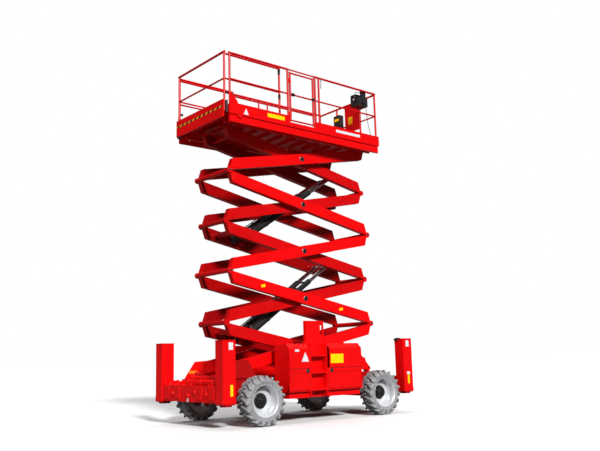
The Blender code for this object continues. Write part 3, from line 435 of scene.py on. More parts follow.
# ---- CAD nodes keep their shapes
def finish_cad_nodes():
    by_slot = {part["node"]: part["material_slot"] for part in frame["record"]["subparts"]}
    # the dark_red_paint slot gets the red painted in shade
    looks = {"red_paint": RED, "dark_red_paint": SHADE_RED, "black_paint": BLACK,
             "tyre_rubber": TYRE, "wheel_paint": RIM, "bright_steel": STEEL,
             "black_plastic": PLASTIC}
    for name, node in frame["nodes"].items():
        node.data.materials.clear()
        look = looks[by_slot[name]]
        # the arms take paints with painted shade; the inner arms' paint is darker still, for shade
        if name.startswith("outer_arms"):
            look = ARM_RED
        elif name.startswith("inner_arms"):
            look = SHADED_INNER_ARM_RED
        elif name == "entry_gate" or "rails" in name:
            look = RAIL_RED
        node.data.materials.append(look)
        add_bevel(node, 0.003, 2, 30)


# ---- wheels
LUGS = 19
LUG_LEAN = (0.0, 0.0, 0.005, 0.020, 0.048, 0.075, 0.095)       # along the tread, at each profile point
LUG_WIDTH = (0.040, 0.050, 0.056, 0.060, 0.050, 0.042, 0.036)
LUG_DEPTH = (0.012, 0.022, 0.030, 0.034, 0.032, 0.030, 0.028)
BEAD_RADIUS = 0.262                                            # where tyre and rim meet
HUB_BOLTS = ((0.110, -0.014, 0.016, 0.0085), (0.067, 0.045, 0.008, 0.006))  # ring, out, length, radius


def tread_profile():
    """Outer line of the tyre, from low on the outer wall over to past the middle: (out, radius)."""
    r, h = TYRE_RADIUS, TYRE_HALF
    return [(h * 0.93, r - 0.085), (h * 0.985, r - 0.055), (h * 0.985, r - 0.028), (h * 0.90, r - 0.006),
            (h * 0.60, r - 0.002), (h * 0.25, r), (-h * 0.10, r)]


def add_lug(bm, centre, outward, mirror, angle):
    """One tread bar: it climbs the wall, then slants across the crown."""
    rings = []
    for (out, radius), shift, wide, deep in zip(tread_profile(), LUG_LEAN, LUG_WIDTH, LUG_DEPTH):
        out *= mirror
        ring = []
        for part, share, r in ((-1, 0.5, radius - deep), (-1, 0.40, radius), (1, 0.40, radius),
                               (1, 0.5, radius - deep)):
            a = angle + (shift + part * share * wide) / TYRE_RADIUS
            pull = 0.0 if r == radius else -0.35 * mirror * deep * (abs(out) > TYRE_HALF * 0.8)
            ring.append(bm.verts.new((centre[0] + r * math.sin(a), centre[1] + outward * (out + pull),
                                      centre[2] + r * math.cos(a))))
        rings.append(ring)
    for first, second in zip(rings, rings[1:]):
        for n in range(4):
            bm.faces.new((first[n], first[(n + 1) % 4], second[(n + 1) % 4], second[n]))
    bm.faces.new(rings[0])
    bm.faces.new(rings[-1])


def make_tyre(name, centre, side):
    r, h = TYRE_RADIUS, TYRE_HALF

    def fill(bm):
        add_lathe(bm, [(-h * 0.60, BEAD_RADIUS), (-h * 0.82, 0.275), (-h * 0.95, 0.320),
                       (-h * 0.93, r - 0.075), (-h * 0.80, r - 0.040), (-h * 0.40, r - 0.032), (0, r - 0.030),
                       (h * 0.40, r - 0.032), (h * 0.80, r - 0.040), (h * 0.93, r - 0.075),
                       (h * 0.95, 0.320), (h * 0.90, 0.310), (h * 0.88, 0.290), (h * 0.82, 0.275),
                       (h * 0.60, BEAD_RADIUS)], centre, side, 96)
        for n in range(LUGS):
            for mirror, start in ((1, 0.0), (-1, 0.5)):
                add_lug(bm, centre, side, mirror, 2 * math.pi * (n + start) / LUGS)
    tyre = piece(f"{name}_tread", f"{name}_wheel", "tyre", fill, bevel=0.004)
    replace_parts(tyre, f"{name}_tyre")


def make_rim(name, centre, side):
    """The rim's barrel and edges, then its disc, which stands for the CAD rim."""
    h, seat = TYRE_HALF, BEAD_RADIUS

    def shell(bm):
        add_lathe(bm, [(-h * 0.66, seat), (-h * 0.72, 0.272), (-h * 0.78, 0.272), (-h * 0.78, seat),
                       (-h * 0.60, 0.246), (h * 0.10, 0.240), (h * 0.55, 0.250), (h * 0.80, seat),
                       (h * 0.86, 0.2735), (h * 0.80, 0.277), (h * 0.74, 0.272), (h * 0.66, seat)],
                  centre, side, 96)
    piece(f"{name}_rim_shell", f"{name}_wheel", "rim", shell, bevel=0.002)

    def disc(bm):
        add_lathe(bm, [(-0.072, 0.243), (-0.048, 0.243), (-0.040, 0.215), (-0.032, 0.150), (-0.040, 0.120),
                       (-0.040, 0.010), (-0.072, 0.010)], centre, side, 72)
    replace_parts(piece(f"{name}_rim_disc", f"{name}_wheel", "rim", disc, bevel=0.002), f"{name}_rim")


def make_hub(name, centre, side):
    """Stepped hub drum with two rings of bolts, and the tyre's valve."""
    def drum(bm):
        add_lathe(bm, [(-0.045, 0.128), (-0.020, 0.128), (-0.014, 0.120), (-0.014, 0.098), (0.035, 0.092),
                       (0.045, 0.082), (0.045, 0.052), (0.060, 0.048), (0.064, 0.040), (0.064, 0.004),
                       (-0.045, 0.004)], centre, side, 48)
        for n in range(10):
            a = 2 * math.pi * n / 10
            at = Vector((math.sin(a), 0, math.cos(a)))
            for ring, out, length, radius in HUB_BOLTS:
                start = centre + at * ring + Vector((0, side * (out - 0.002), 0))
                add_cylinder(bm, start, start + Vector((0, side * length, 0)), radius, 6)
    piece(f"{name}_hub", f"{name}_wheel", "black", drum, bevel=0.0015)

    def valve(bm):
        base = centre + Vector((0, side * -0.035, 0.236))
        tip = centre + Vector((0, side * 0.012, 0.222))
        add_cylinder(bm, base, tip, 0.005, 16)
        add_cylinder(bm, tip, tip + (tip - base) * 0.25, 0.0065, 12)
    piece(f"{name}_valve", f"{name}_wheel", "black", valve, bevel=0.0005)


def make_wheels():
    for end, end_x in (("front", -AXLE_X), ("rear", AXLE_X)):
        for side_name, side in (("right", -1), ("left", 1)):
            centre = Vector((end_x, side * WHEEL_Y, AXLE_Z))
            for make in (make_tyre, make_rim, make_hub):
                make(f"{end}_{side_name}", centre, side)


# ---- labels
def label(name, body, look, centre, normal, width, height, turn=0.0, shape="plain"):
    """A blank sticker lying on a face whose outward normal is given."""
    normal = Vector(normal).normalized()
    up = Vector((0, 0, 1))
    across = up.cross(normal).normalized()
    up = normal.cross(across)
    basis = Matrix((across, up, normal)).transposed().to_4x4()
    place = Matrix.Translation(centre) @ basis @ Matrix.Rotation(turn, 4, "Z")
    if shape == "triangle":
        outline = [(-width / 2, -height / 2), (width / 2, -height / 2), (0, height / 2)]
    else:
        outline = [(-width / 2, -height / 2), (width / 2, -height / 2), (width / 2, height / 2),
                   (-width / 2, height / 2)]

    def fill(bm):
        low = [bm.verts.new((x, y, 0)) for x, y in outline]
        made = bmesh.ops.extrude_face_region(bm, geom=[bm.faces.new(low)])
        moved = [v for v in made["geom"] if isinstance(v, bmesh.types.BMVert)]
        bmesh.ops.translate(bm, vec=(0, 0, STICKER), verts=moved)
        bmesh.ops.transform(bm, matrix=place, verts=bm.verts)
    return piece(name, body, "plastic", fill, material=look)


# ---- fasteners
def add_bolt(bm, at, normal, radius=0.008, height=0.006):
    """A hexagon head on its washer."""
    at, normal = Vector(at), Vector(normal).normalized()
    add_cylinder(bm, at - normal * 0.001, at + normal * height * 0.3, radius * 1.55, 16)
    add_cylinder(bm, at, at + normal * height, radius, 6)


def bolts(name, body, places, normal, radius=0.008, height=0.006, finish="steel", material=None):
    def fill(bm):
        for at in places:
            add_bolt(bm, at, normal, radius, height)
    return piece(name, body, finish, fill, material=material or (BOLT if finish == "steel" else None))


def plates(name, body, boxes, finish="red", bevel=0.003, material=None):
    """Several folded or welded plates drawn as one piece."""
    def fill(bm):
        for low, high in boxes:
            add_box(bm, low, high)
    return piece(name, body, finish, fill, bevel=bevel, material=material)


def face_span(side, y, inward, outward):
    """Low and high Y of a thin plate on the face at side * y, from under it to proud of it."""
    return sorted((side * (y - inward), side * (y + outward)))


def both(side_boxes):
    """The same boxes on both sides of the machine."""
    mirrored = [((low[0], -high[1], low[2]), (high[0], -low[1], high[2])) for low, high in side_boxes]
    return list(side_boxes) + mirrored


# ---- scissor arms
def make_arm_details():
    """Centre pin rings and caps, end pin keepers and doubler plates."""
    for stage in range(1, STAGES + 1):
        centre = arm_frame(stage, True) @ Vector((ARM_LENGTH / 2, 0, 0))
        body = arm_body(stage, True)

        def rings(bm):
            for side in (-1, 1):
                at = Vector((centre.x, side * OUTER_FACE_Y, centre.z))
                add_lathe(bm, [(0.0005, 0.033), (0.0005, 0.052), (0.005, 0.052), (0.008, 0.048),
                               (0.008, 0.033)], at, side, 32)
        piece(f"centre_pin_rings_{stage}", body, "steel", rings, bevel=0.001)

        def caps(bm):
            for side in (-1, 1):
                at = Vector((centre.x, side * (OUTER_FACE_Y + 0.012), centre.z))
                add_lathe(bm, [(-0.002, 0.002), (-0.002, 0.034), (0.003, 0.034), (0.005, 0.030),
                               (0.005, 0.002)], at, side, 32)
                add_cylinder(bm, at, at + Vector((0, side * 0.010, 0)), 0.014, 6)
        piece(f"centre_pin_caps_{stage}", body, "black", caps, bevel=0.0008)
        make_weld_plates(stage)
        if stage < STAGES:
            make_end_pin(stage)


def make_end_pin(stage):
    """Keeper plate and bolts over the end of the outer arms' upper pin."""
    pin = pin_at(stage, not goes_left(stage, False))
    face = OUTER_FACE_Y + 0.0125
    body = arm_body(stage, False)

    def keeper(bm):
        for side in (-1, 1):
            y = side * face
            low, high = sorted((y - side * 0.001, y + side * 0.005))
            add_box(bm, (pin.x - 0.040, low, pin.z - 0.013), (pin.x + 0.040, high, pin.z + 0.013))
    piece(f"end_pin_keepers_{stage}", body, "black", keeper, bevel=0.002)

    def heads(bm):
        for side in (-1, 1):
            for x in (-0.027, 0.027):
                add_bolt(bm, (pin.x + x, side * (face + 0.005), pin.z), (0, side, 0), 0.0075, 0.005)
    piece(f"end_pin_bolts_{stage}", body, "steel", heads, material=BOLT)


DOUBLER_HALF = 0.085
DOUBLER_CORNER = 0.060


def octagon(along, half, corner):
    """A square plate with its corners cut, centred at (along, 0)."""
    near = half * 0.6
    return [(along - half, -corner), (along - near, -half), (along + near, -half), (along + half, -corner),
            (along + half, corner), (along + near, half), (along - near, half), (along - half, corner)]


def make_weld_plates(stage):
    """Doubler plates round the pins, on the outer faces of both pairs of arms."""
    for inner, face in ((False, OUTER_FACE_Y), (True, INNER_FACE_Y)):
        place = arm_frame(stage, inner)
        thickness = 0.0035 if inner else 0.005

        def fill(bm):
            for along in (0.19, ARM_LENGTH / 2, ARM_LENGTH - 0.19):
                if not inner and along == ARM_LENGTH / 2:
                    continue
                for side in (-1, 1):
                    low, high = sorted((side * (face - 0.001), side * (face + thickness)))
                    add_prism(bm, octagon(along, DOUBLER_HALF, DOUBLER_CORNER), low, high, place)
        # the doublers take the arms' paints, painted shade included
        piece(f"{'inner' if inner else 'outer'}_arm_doublers_{stage}", arm_body(stage, inner), "red",
              fill, bevel=0.0015, material=SHADED_INNER_ARM_RED if inner else ARM_RED)


def make_arm_labels():
    for n, along in enumerate((0.85, ARM_LENGTH - 0.75)):
        place = arm_frame(2, False) @ Vector((along, 0, 0))
        label(f"arm_label_{n + 1}", "outer_arms_2", YELLOW, (place.x, -OUTER_FACE_Y, place.z), TO_RIGHT,
              0.095, 0.05, TILT)


# ---- lift cylinders
BARREL_BANDS = ((0.05, 0.10, 0.008), (0.55, 0.03, 0.005), (1.0, 0.03, 0.005),   # start, width, how proud
                (BARREL_LENGTH - 0.07, 0.075, 0.010))
PORTS = (0.18, BARREL_LENGTH - 0.16)


def make_cylinder_details():
    """Bands, port nuts, pipes and foot hoses on both barrels of each lift cylinder pair."""
    for name, stage in CYLINDER_STAGE.items():
        foot = arm_frame(stage, True) @ Vector((ARM_LENGTH - FOOT_SETBACK, 0, 0))
        eye = Vector(JOINTS[f"{name}_cylinder_turn"]["pos_m"])
        foot.y = eye.y = 0
        along = (eye - foot).normalized()
        across = Vector(TO_LEFT).cross(along)
        body = f"{name}_cylinder_barrels"

        def at(distance, y, out=0.0):
            return foot + along * distance + Vector((0, y, 0)) + across * out

        def bands(bm):
            for y in (-CYLINDER_Y, CYLINDER_Y):
                for start, wide, proud in BARREL_BANDS:
                    add_cylinder(bm, at(start, y), at(start + wide, y), BARREL_RADIUS + proud, 32)
        piece(f"{name}_barrel_bands", body, "black", bands, bevel=0.002)

        def nuts(bm):
            for y in (-CYLINDER_Y, CYLINDER_Y):
                for port in PORTS:
                    add_cylinder(bm, at(port, y, -0.06), at(port, y, -0.095), 0.022, 6)
        piece(f"{name}_port_nuts", body, "steel", nuts, bevel=0.001, material=BOLT)
        for side_name, side in (("right", -1), ("left", 1)):
            y = side * CYLINDER_Y
            first, last = PORTS
            tube(f"{name}_pipe_{side_name}", body, "black",
                 [at(first, y, -0.09), at(0.24, y, -0.086), at(0.8, y, -0.083), at(1.28, y, -0.086),
                  at(last, y, -0.09)], 0.009)
            tube(f"{name}_hose_{side_name}", body, "black",
                 [at(first, y, -0.092), at(0.10, y * 0.9, -0.15), at(0.0, y * 0.6, -0.17),
                  at(-0.10, y * 0.25, -0.13), at(-0.12, 0.02 * side, -0.05)], 0.012, material=HOSE)


# ---- side boxes
PANEL_TOP_Z = SEAM_Z - 0.085
PANEL_LOW_Z = 0.555
PANEL_GAP = 0.009


def make_box_details():
    """Panels with painted shade in the gaps round them, latches and hinges; then the covers' seams and hinge
    rolls.
    """
    for name, side in (("right", -1), ("left", 1)):
        spans = ((BOX_FRONT_X + 0.05, -0.43), (0.0, BOX_REAR_X - 0.03))
        if side > 0:
            spans = ((BOX_FRONT_X + 0.05, -0.05), (-0.01, BOX_REAR_X - 0.03))

        def across(low_z, high_z, outward, margin=0.0):
            low_y, high_y = face_span(side, BOX_OUTER_Y, 0.002, outward)
            return [((low - margin, low_y, low_z - margin), (high + margin, high_y, high_z + margin))
                    for low, high in spans]
        plates(f"{name}_box_panels", "chassis", across(PANEL_LOW_Z, PANEL_TOP_Z, 0.008), bevel=0.005)
        # the gaps round the panels are painted shade
        plates(f"{name}_panel_gaps", "chassis", across(PANEL_LOW_Z, PANEL_TOP_Z, 0.0025, PANEL_GAP),
               bevel=0.001, material=SHADE_RED)
        plates(f"{name}_seam_strips", "chassis", across(PANEL_TOP_Z + 0.016, SEAM_Z - 0.014, 0.004),
               bevel=0.002)
        make_latches(name, side, (spans[0][1] - 0.06, spans[1][0] + 0.075))
        make_corner_hinges(name, side)
    for cover, side in (("right_front_cover", -1), ("right_rear_cover", -1),
                        ("left_front_cover", 1), ("left_rear_cover", 1)):
        make_cover_details(cover, side)


def make_cover_details(cover, side):
    low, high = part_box(cover)
    y = side * COVER_HINGE_Y
    tube(f"{cover}_hinge_roll", cover, "red",
         [(low.x + 0.04, y, high.z + 0.004), (high.x - 0.04, y, high.z + 0.004)], 0.007)
    low_y, high_y = face_span(side, BOX_OUTER_Y, 0.002, 0.0015)
    plates(f"{cover}_shadow_gap", "chassis",
           [((low.x + 0.002, low_y, SEAM_Z - 0.009), (high.x - 0.002, high_y, SEAM_Z - 0.002))],
           "black", 0.0008)
    lip_low, lip_high = sorted((side * BOX_OUTER_Y, side * (BOX_OUTER_Y + 0.004)))
    plates(f"{cover}_lip", cover, [((low.x + 0.002, lip_low - 0.001, SEAM_Z + 0.002),
                                    (high.x - 0.002, lip_high, SEAM_Z + 0.020))], bevel=0.0015)


def make_latches(name, side, places):
    y = side * (BOX_OUTER_Y + 0.004)
    for n, x in enumerate(places):
        at = Vector((x, y, SEAM_Z - 0.045))

        def cup(bm):
            add_lathe(bm, [(-0.002, 0.004), (-0.002, 0.036), (0.006, 0.036), (0.009, 0.031), (0.009, 0.025),
                           (0.003, 0.022), (0.003, 0.004)], at, side, 36)
        piece(f"{name}_latch_{n + 1}", "chassis", "plastic", cup, bevel=0.0008)

        def paddle(bm):
            add_lathe(bm, [(0.003, 0.001), (0.003, 0.021), (0.0075, 0.019), (0.0085, 0.001)], at, side, 36)
            add_box(bm, at + Vector((-0.004, side * 0.006 - 0.003, -0.014)),
                    at + Vector((0.004, side * 0.010 + 0.001, 0.014)))
        piece(f"{name}_latch_paddle_{n + 1}", "chassis", "steel", paddle, bevel=0.0008)


def make_corner_hinges(name, side):
    x = BOX_FRONT_X - 0.006
    y = side * (BOX_OUTER_Y - 0.035)
    cover = f"{name}_front_cover"
    for n, (z, body) in enumerate(((1.19, cover), (1.14, cover), (0.64, "chassis"), (0.59, "chassis"))):
        low_y, high_y = sorted((y, y + side * 0.035))

        def fill(bm):
            add_box(bm, (x, low_y, z - 0.014), (BOX_FRONT_X + 0.001, high_y, z + 0.014))
            add_cylinder(bm, (x - 0.003, high_y if side > 0 else low_y, z - 0.017),
                         (x - 0.003, high_y if side > 0 else low_y, z + 0.017), 0.007, 16)
        piece(f"{name}_corner_hinge_{n + 1}", body, "red", fill, bevel=0.0015)


def make_box_labels():
    y = -BOX_OUTER_Y
    label("warning_triangle_label", "right_front_cover", WHITE, (-0.54, y, 1.130), TO_RIGHT,
          0.17, 0.17, shape="triangle")
    label("small_white_label", "right_front_cover", WHITE, (-0.725, y, 1.240), TO_RIGHT, 0.09, 0.040)
    label("yellow_cover_label", "right_rear_cover", YELLOW, (0.22, y, 1.085), TO_RIGHT, 0.31, 0.165)
    label("left_cover_label", "left_front_cover", YELLOW, (-0.45, -y, 1.085), TO_LEFT, 0.31, 0.165)
    plates("wedge_latches", "chassis",
           both([((BOX_REAR_X + 0.165, y - 0.004, 0.882), (BOX_REAR_X + 0.205, y + 0.012, 0.915))]),
           "black", 0.004)


STEP_FIRST_Z = 0.565
STEP_SPACING = 0.297


def make_ladder_details():
    """Grip bars on the three steps, and the handhold's bolts."""
    bars = []
    for level in range(3):
        top = STEP_FIRST_Z + level * STEP_SPACING
        for n in range(6):
            y = -BOX_OUTER_Y + 0.012 + n * 0.022
            bars.append(((-0.385, y, top - 0.001), (-0.055, y + 0.008, top + 0.004)))
    plates("step_grip_bars", "chassis", bars, "red", 0.0015)
    y = -BOX_OUTER_Y + 0.15 - 0.003
    bolts("handhold_bolts", "chassis", [(x, y, z) for x in (-0.36, -0.10) for z in (1.42, 1.52)],
          TO_RIGHT, 0.008, 0.006, "red")


# ---- outriggers
POST_BOLT_LEVELS = (0.56, 0.75, 0.94, 1.13, 1.32)
BEAM_PADS_Y = (-0.72, -0.36, 0.36, 0.72)


def make_outrigger_details():
    """Caps, skirts and bolts of the four posts, the beams' brackets, a stop block and labels."""
    for name, end in (("front", -1), ("rear", 1)):
        outer_x = end * END_X
        inner_x = end * (END_X - POST_LENGTH)
        low_x, high_x = sorted((outer_x, inner_x))
        caps, skirts, rows = [], [], []
        for side in (-1, 1):
            low_y, high_y = sorted((side * POST_OUTER_Y, side * POST_INNER_Y))
            caps.append(((low_x - 0.007, low_y - 0.007, POST_TOP_Z - 0.001),
                         (high_x + 0.007, high_y + 0.007, POST_TOP_Z + 0.007)))
            skirts.append(((low_x - 0.005, low_y - 0.005, 0.405), (high_x + 0.005, high_y + 0.005, 0.47)))
            rows += [(outer_x, side * (POST_INNER_Y + 0.035), z) for z in POST_BOLT_LEVELS]
        plates(f"{name}_post_caps", "chassis", caps)
        plates(f"{name}_post_skirts", "chassis", skirts, "red", 0.004)
        bolts(f"{name}_post_bolts", "chassis", rows, (end, 0, 0), 0.010, 0.006, "red")
        make_beam_details(name, end, outer_x)
    plates("rear_post_stop", "chassis",
           [((1.975, -0.99, 1.395), (2.03, -0.90, 1.436)), ((1.985, -0.97, 1.43), (2.10, -0.93, 1.452))],
           "black", 0.005)
    z = POST_TOP_Z - 0.095
    label("front_post_label", "chassis", WHITE, (-2.11, -POST_OUTER_Y, z), TO_RIGHT, 0.085, 0.12)
    label("front_post_stripe", "chassis", YELLOW, (-2.10, -POST_OUTER_Y, 0.62), TO_RIGHT, 0.055, 0.18)
    label("rear_post_label", "chassis", WHITE, (2.15, -POST_OUTER_Y, z), TO_RIGHT, 0.085, 0.12)
    label("rear_post_mark", "chassis", WHITE, (2.15, -POST_OUTER_Y, 0.76), TO_RIGHT, 0.085, 0.05)
    label("rear_post_stripe", "chassis", YELLOW, (2.15, -POST_OUTER_Y, 0.64), TO_RIGHT, 0.055, 0.17)


def make_beam_details(name, end, outer_x):
    """Brackets and bosses on the outrigger beam; the steered end has two tubes lying on it."""
    face = outer_x - end * 0.02
    low, high = sorted((face, face + end * 0.012))
    plates(f"{name}_beam_pads", "chassis",
           [((low, y - 0.09, 0.45), (high, y + 0.09, 0.67)) for y in BEAM_PADS_Y], "red", 0.006)

    def bosses(bm):
        for y, z, radius in ((-0.55, 0.55, 0.060), (-0.20, 0.58, 0.045), (0.02, 0.52, 0.040),
                             (0.55, 0.55, 0.060)):
            at = Vector((face, y, z))
            add_cylinder(bm, at - Vector((end * 0.004, 0, 0)), at + Vector((end * 0.014, 0, 0)), radius, 32)
            add_cylinder(bm, at, at + Vector((end * 0.018, 0, 0)), radius * 0.45, 20)
    piece(f"{name}_beam_bosses", "chassis", "red", bosses, bevel=0.003)
    places = [(high if end > 0 else low, y + dy, 0.56 + dz) for y in BEAM_PADS_Y
              for dy, dz in ((-0.06, -0.07), (0.06, 0.07))]
    bolts(f"{name}_beam_bolts", "chassis", places, (end, 0, 0), 0.012, 0.007, "red")
    if end < 0:
        make_beam_tubes()


def make_beam_tubes():
    """Two tubes lying on the steered end's beam, their open far ends plugged."""
    near_y = BEAM_TUBE_NEAR_Y

    def tubes(bm):
        for x, z, radius, far_y in BEAM_TUBES:
            add_lathe(bm, [(near_y, radius), (far_y, radius), (far_y, radius - 0.010),
                           (far_y - 0.10, radius - 0.010), (far_y - 0.10, 0.001), (near_y, 0.001)],
                      Vector((x, 0, z)), 1, 32)
    piece("front_beam_tubes", "chassis", "red", tubes, bevel=0.002)

    def collars(bm):
        for x, z, radius, far_y in BEAM_TUBES:
            for y in (near_y + 0.16, near_y + 0.52, far_y - 0.09):
                add_lathe(bm, [(0.0, radius - 0.002), (0.0, radius + 0.008), (0.05, radius + 0.008),
                               (0.05, radius - 0.002)], Vector((x, y, z)), 1, 32)
    piece("front_tube_collars", "chassis", "red", collars, bevel=0.002)

    def plugs(bm):
        for x, z, radius, far_y in BEAM_TUBES:
            add_cylinder(bm, (x, far_y - 0.06, z), (x, far_y - 0.015, z), radius - 0.009, 24)
            add_cylinder(bm, (x, far_y - 0.015, z), (x, far_y - 0.005, z), radius * 0.4, 6)
    piece("front_tube_plugs", "chassis", "black", plugs, bevel=0.002)
    plates("front_tube_saddles", "chassis",
           [((-2.235, y - 0.03, 0.698), (-2.03, y + 0.03, 0.742)) for y in (-0.70, -0.05)], "red", 0.004)

    def ribs(bm):
        for y in (-0.62, 0.40, 0.66):
            add_prism(bm, [(-2.24, 0.66), (-2.24, 0.70), (-2.20, 0.76), (-2.04, 0.78), (-2.04, 0.66)],
                      y - 0.012, y + 0.012)
        for y in (0.84, -0.852):
            add_prism(bm, [(-2.262, 0.45), (-2.262, 0.60), (-2.215, 0.80), (-2.05, 0.84), (-2.05, 0.45)],
                      y - 0.012, y + 0.012)
    piece("front_beam_ribs", "chassis", "red", ribs, bevel=0.003)


def make_chassis_details():
    """Triangular brackets at the fixed pins, and their labels."""
    # the right bracket is painted in shade; the left one keeps the plain red
    for name, low, high, look in (("right", -0.590, -0.577, SHADE_RED), ("left", 0.577, 0.590, RED)):
        def bracket(bm):
            add_prism(bm, [(-1.98, 0.79), (-1.76, 1.09), (-1.40, 1.11), (-1.20, 0.79)], low, high)
            add_cylinder(bm, (PIVOT_X, low - 0.007, PIVOT_Z), (PIVOT_X, high + 0.007, PIVOT_Z), 0.062, 32)
        piece(f"{name}_pin_bracket", "chassis", "red", bracket, bevel=0.003, material=look)
    label("bracket_label", "chassis", ORANGE, (-1.80, 0.577, 0.905), TO_RIGHT, 0.16, 0.05)
    label("beam_label", "chassis", WHITE, (-2.250, 0.02, 0.455), TO_FRONT, 0.05, 0.075)


# ---- platform
def make_platform_details():
    make_platform_labels()
    make_rail_details()
    make_underside()
    make_tread_lozenges()
    make_controller_details()


def make_platform_labels():
    y = DECK_LOW.y
    label("toe_triangle_label", "platform", WHITE, (-1.59, y, 5.500), TO_RIGHT, 0.115, 0.115,
          shape="triangle")
    label("toe_yellow_label", "platform", YELLOW, (-0.905, y, 5.535), TO_RIGHT, 0.40, 0.075)
    label("toe_white_strip", "platform", WHITE, (0.935, y, 5.535), TO_RIGHT, 0.66, 0.055)
    label("infill_label", "platform", YELLOW, (1.761, -0.13, 6.17), TO_FRONT, 0.13, 0.16)
    low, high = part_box("document_box")
    label("document_box_label", "platform", YELLOW, (low.x, (low.y + high.y) / 2, high.z - 0.10),
          TO_FRONT, 0.13, 0.06)


def make_rail_details():
    """Gussets and sockets at the posts' feet, pin plugs, gate latch and strap, toe board edges."""
    y = DECK_LOW.y
    top_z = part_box("right_rails")[1].z
    mid_z = FLOOR_Z + 0.60

    def gussets(bm):
        outline = [(-1.945, 5.60), (-1.945, 5.80), (-1.90, 5.80), (-1.76, 5.66), (-1.76, 5.60)]
        for side in (-1, 1):
            low_y, high_y = sorted((side * 0.876, side * 0.888))
            add_prism(bm, outline, low_y, high_y)
    piece("post_gussets", "platform", "red", gussets, bevel=0.002)

    def plugs(bm):
        pin_z = JOINTS["platform_turn"]["pos_m"][2]
        for side in (-1, 1):
            add_lathe(bm, [(-0.010, 0.001), (-0.010, 0.026), (0.0005, 0.026), (0.0005, 0.040), (0.003, 0.040),
                           (0.0045, 0.036), (0.0045, 0.001)], (PIVOT_X, side * -y, pin_z), side, 36)
    piece("pin_access_plugs", "platform", "red", plugs, bevel=0.0008)

    def sockets(bm):
        for side in (-1, 1):
            xs = (-1.92, -0.585, 0.105, 0.205, 1.77) if side < 0 else (-1.92, 1.77)
            for x in xs:
                low_y, high_y = sorted((side * 0.838, side * 0.8855))
                add_box(bm, (x - 0.030, low_y, FLOOR_Z + 0.001), (x + 0.030, high_y, FLOOR_Z + 0.125))
    piece("post_sockets", "platform", "red", sockets, bevel=0.003)
    plates("gate_latch", "platform",
           [((-0.005, -0.893, mid_z - 0.022), (0.085, -0.878, mid_z + 0.022))], "black", 0.004)
    tube("gate_strap", "platform", "black",
         [(0.235, -0.882, top_z - 0.02), (0.245, -0.892, top_z - 0.10), (0.240, -0.889, top_z - 0.24)], 0.007)
    plates("toe_board_edges", "platform",
           [((DECK_LOW.x + 0.004, y - 0.003, 5.604), (GATE_NEAR_X, y + 0.012, 5.6205)),
            ((GATE_FAR_X, y - 0.003, 5.604), (DECK_HIGH.x - 0.004, y + 0.012, 5.6205))], "red", 0.002)


RIB_SPACING = 0.315
SLOT_SPACING = 0.33


def make_underside():
    """Cross ribs between the arms, and pale plates of painted highlight at the drain slots, under the floor."""
    under = FLOOR_Z - 0.025
    ribs = []
    for n in range(12):
        x = -1.84 + n * RIB_SPACING
        if abs(x - 0.012 - PIVOT_X) > 0.15:
            ribs.append(((x - 0.012, -0.29, under - 0.045), (x + 0.012, 0.29, under + 0.001)))
    plates("deck_cross_ribs", "platform", ribs, "red", 0.002)

    def slots(bm):
        for n in range(10):
            x = -1.55 + n * SLOT_SPACING
            for row, y in enumerate((-0.56, -0.34, 0.20, 0.48)):
                if (n + row) % 2:
                    add_slot_plate(bm, (x, y, under))
    # white plates under the floor: painted highlights at the drain slots
    piece("drain_slot_highlights", "platform", "steel", slots, material=WHITE)


def add_slot_plate(bm, at):
    """A long rounded plate lying against the underside of the floor."""
    steps = 8
    ring = []
    for n in range(2 * steps):
        angle = math.pi * n / steps
        shift = 0.05 if math.cos(angle) > 0 else -0.05
        ring.append((at[0] + 0.022 * math.sin(angle), at[1] + shift + 0.022 * math.cos(angle)))
    low = [bm.verts.new((x, y, at[2] - 0.003)) for x, y in ring]
    high = [bm.verts.new((x, y, at[2] + 0.001)) for x, y in ring]
    bm.faces.new(low)
    bm.faces.new(high)
    for n in range(len(ring)):
        bm.faces.new((low[n - 1], low[n], high[n], high[n - 1]))


LOZENGE_SPACING = 0.048


def add_lozenge(bm, x, y, z, angle):
    """One raised mark of chequer plate."""
    along = Vector((math.cos(angle), math.sin(angle), 0))
    aside = Vector((-along.y, along.x, 0))
    at = Vector((x, y, z))
    low = [bm.verts.new(at + v) for v in (along * 0.017, aside * 0.005, -along * 0.017, -aside * 0.005)]
    lift = Vector((0, 0, 0.0016))
    high = [bm.verts.new(at + v + lift) for v in (along * 0.011, aside * 0.0025, -along * 0.011,
                                                 -aside * 0.0025)]
    bm.faces.new(high)
    bm.faces.new(low)
    for n in range(4):
        bm.faces.new((low[n - 1], low[n], high[n], high[n - 1]))


def lozenge_field(name, body, low, high, z):
    """Chequer plate marks filling a rectangle of floor, turned this way and that."""
    def fill(bm):
        rows = int((high[1] - low[1]) / LOZENGE_SPACING)
        columns = int((high[0] - low[0]) / LOZENGE_SPACING)
        for n in range(columns):
            for m in range(rows):
                angle = math.pi / 4 if (n + m) % 2 else -math.pi / 4
                add_lozenge(bm, low[0] + (n + 0.5) * LOZENGE_SPACING,
                            low[1] + (m + 0.5) * LOZENGE_SPACING, z, angle)
    piece(name, body, "red", fill)


def make_tread_lozenges():
    lozenge_field("tread_marks", "platform", (-0.64, -0.78), (1.70, 0.78), DECK_FLOOR_TOP - 0.0002)
    low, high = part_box("extension_deck")
    plate_top = FLOOR_Z + 0.0197
    lozenge_field("extension_tread_marks", "extension", (low.x + 0.06, -0.74), (high.x - 0.03, 0.74),
                  plate_top)


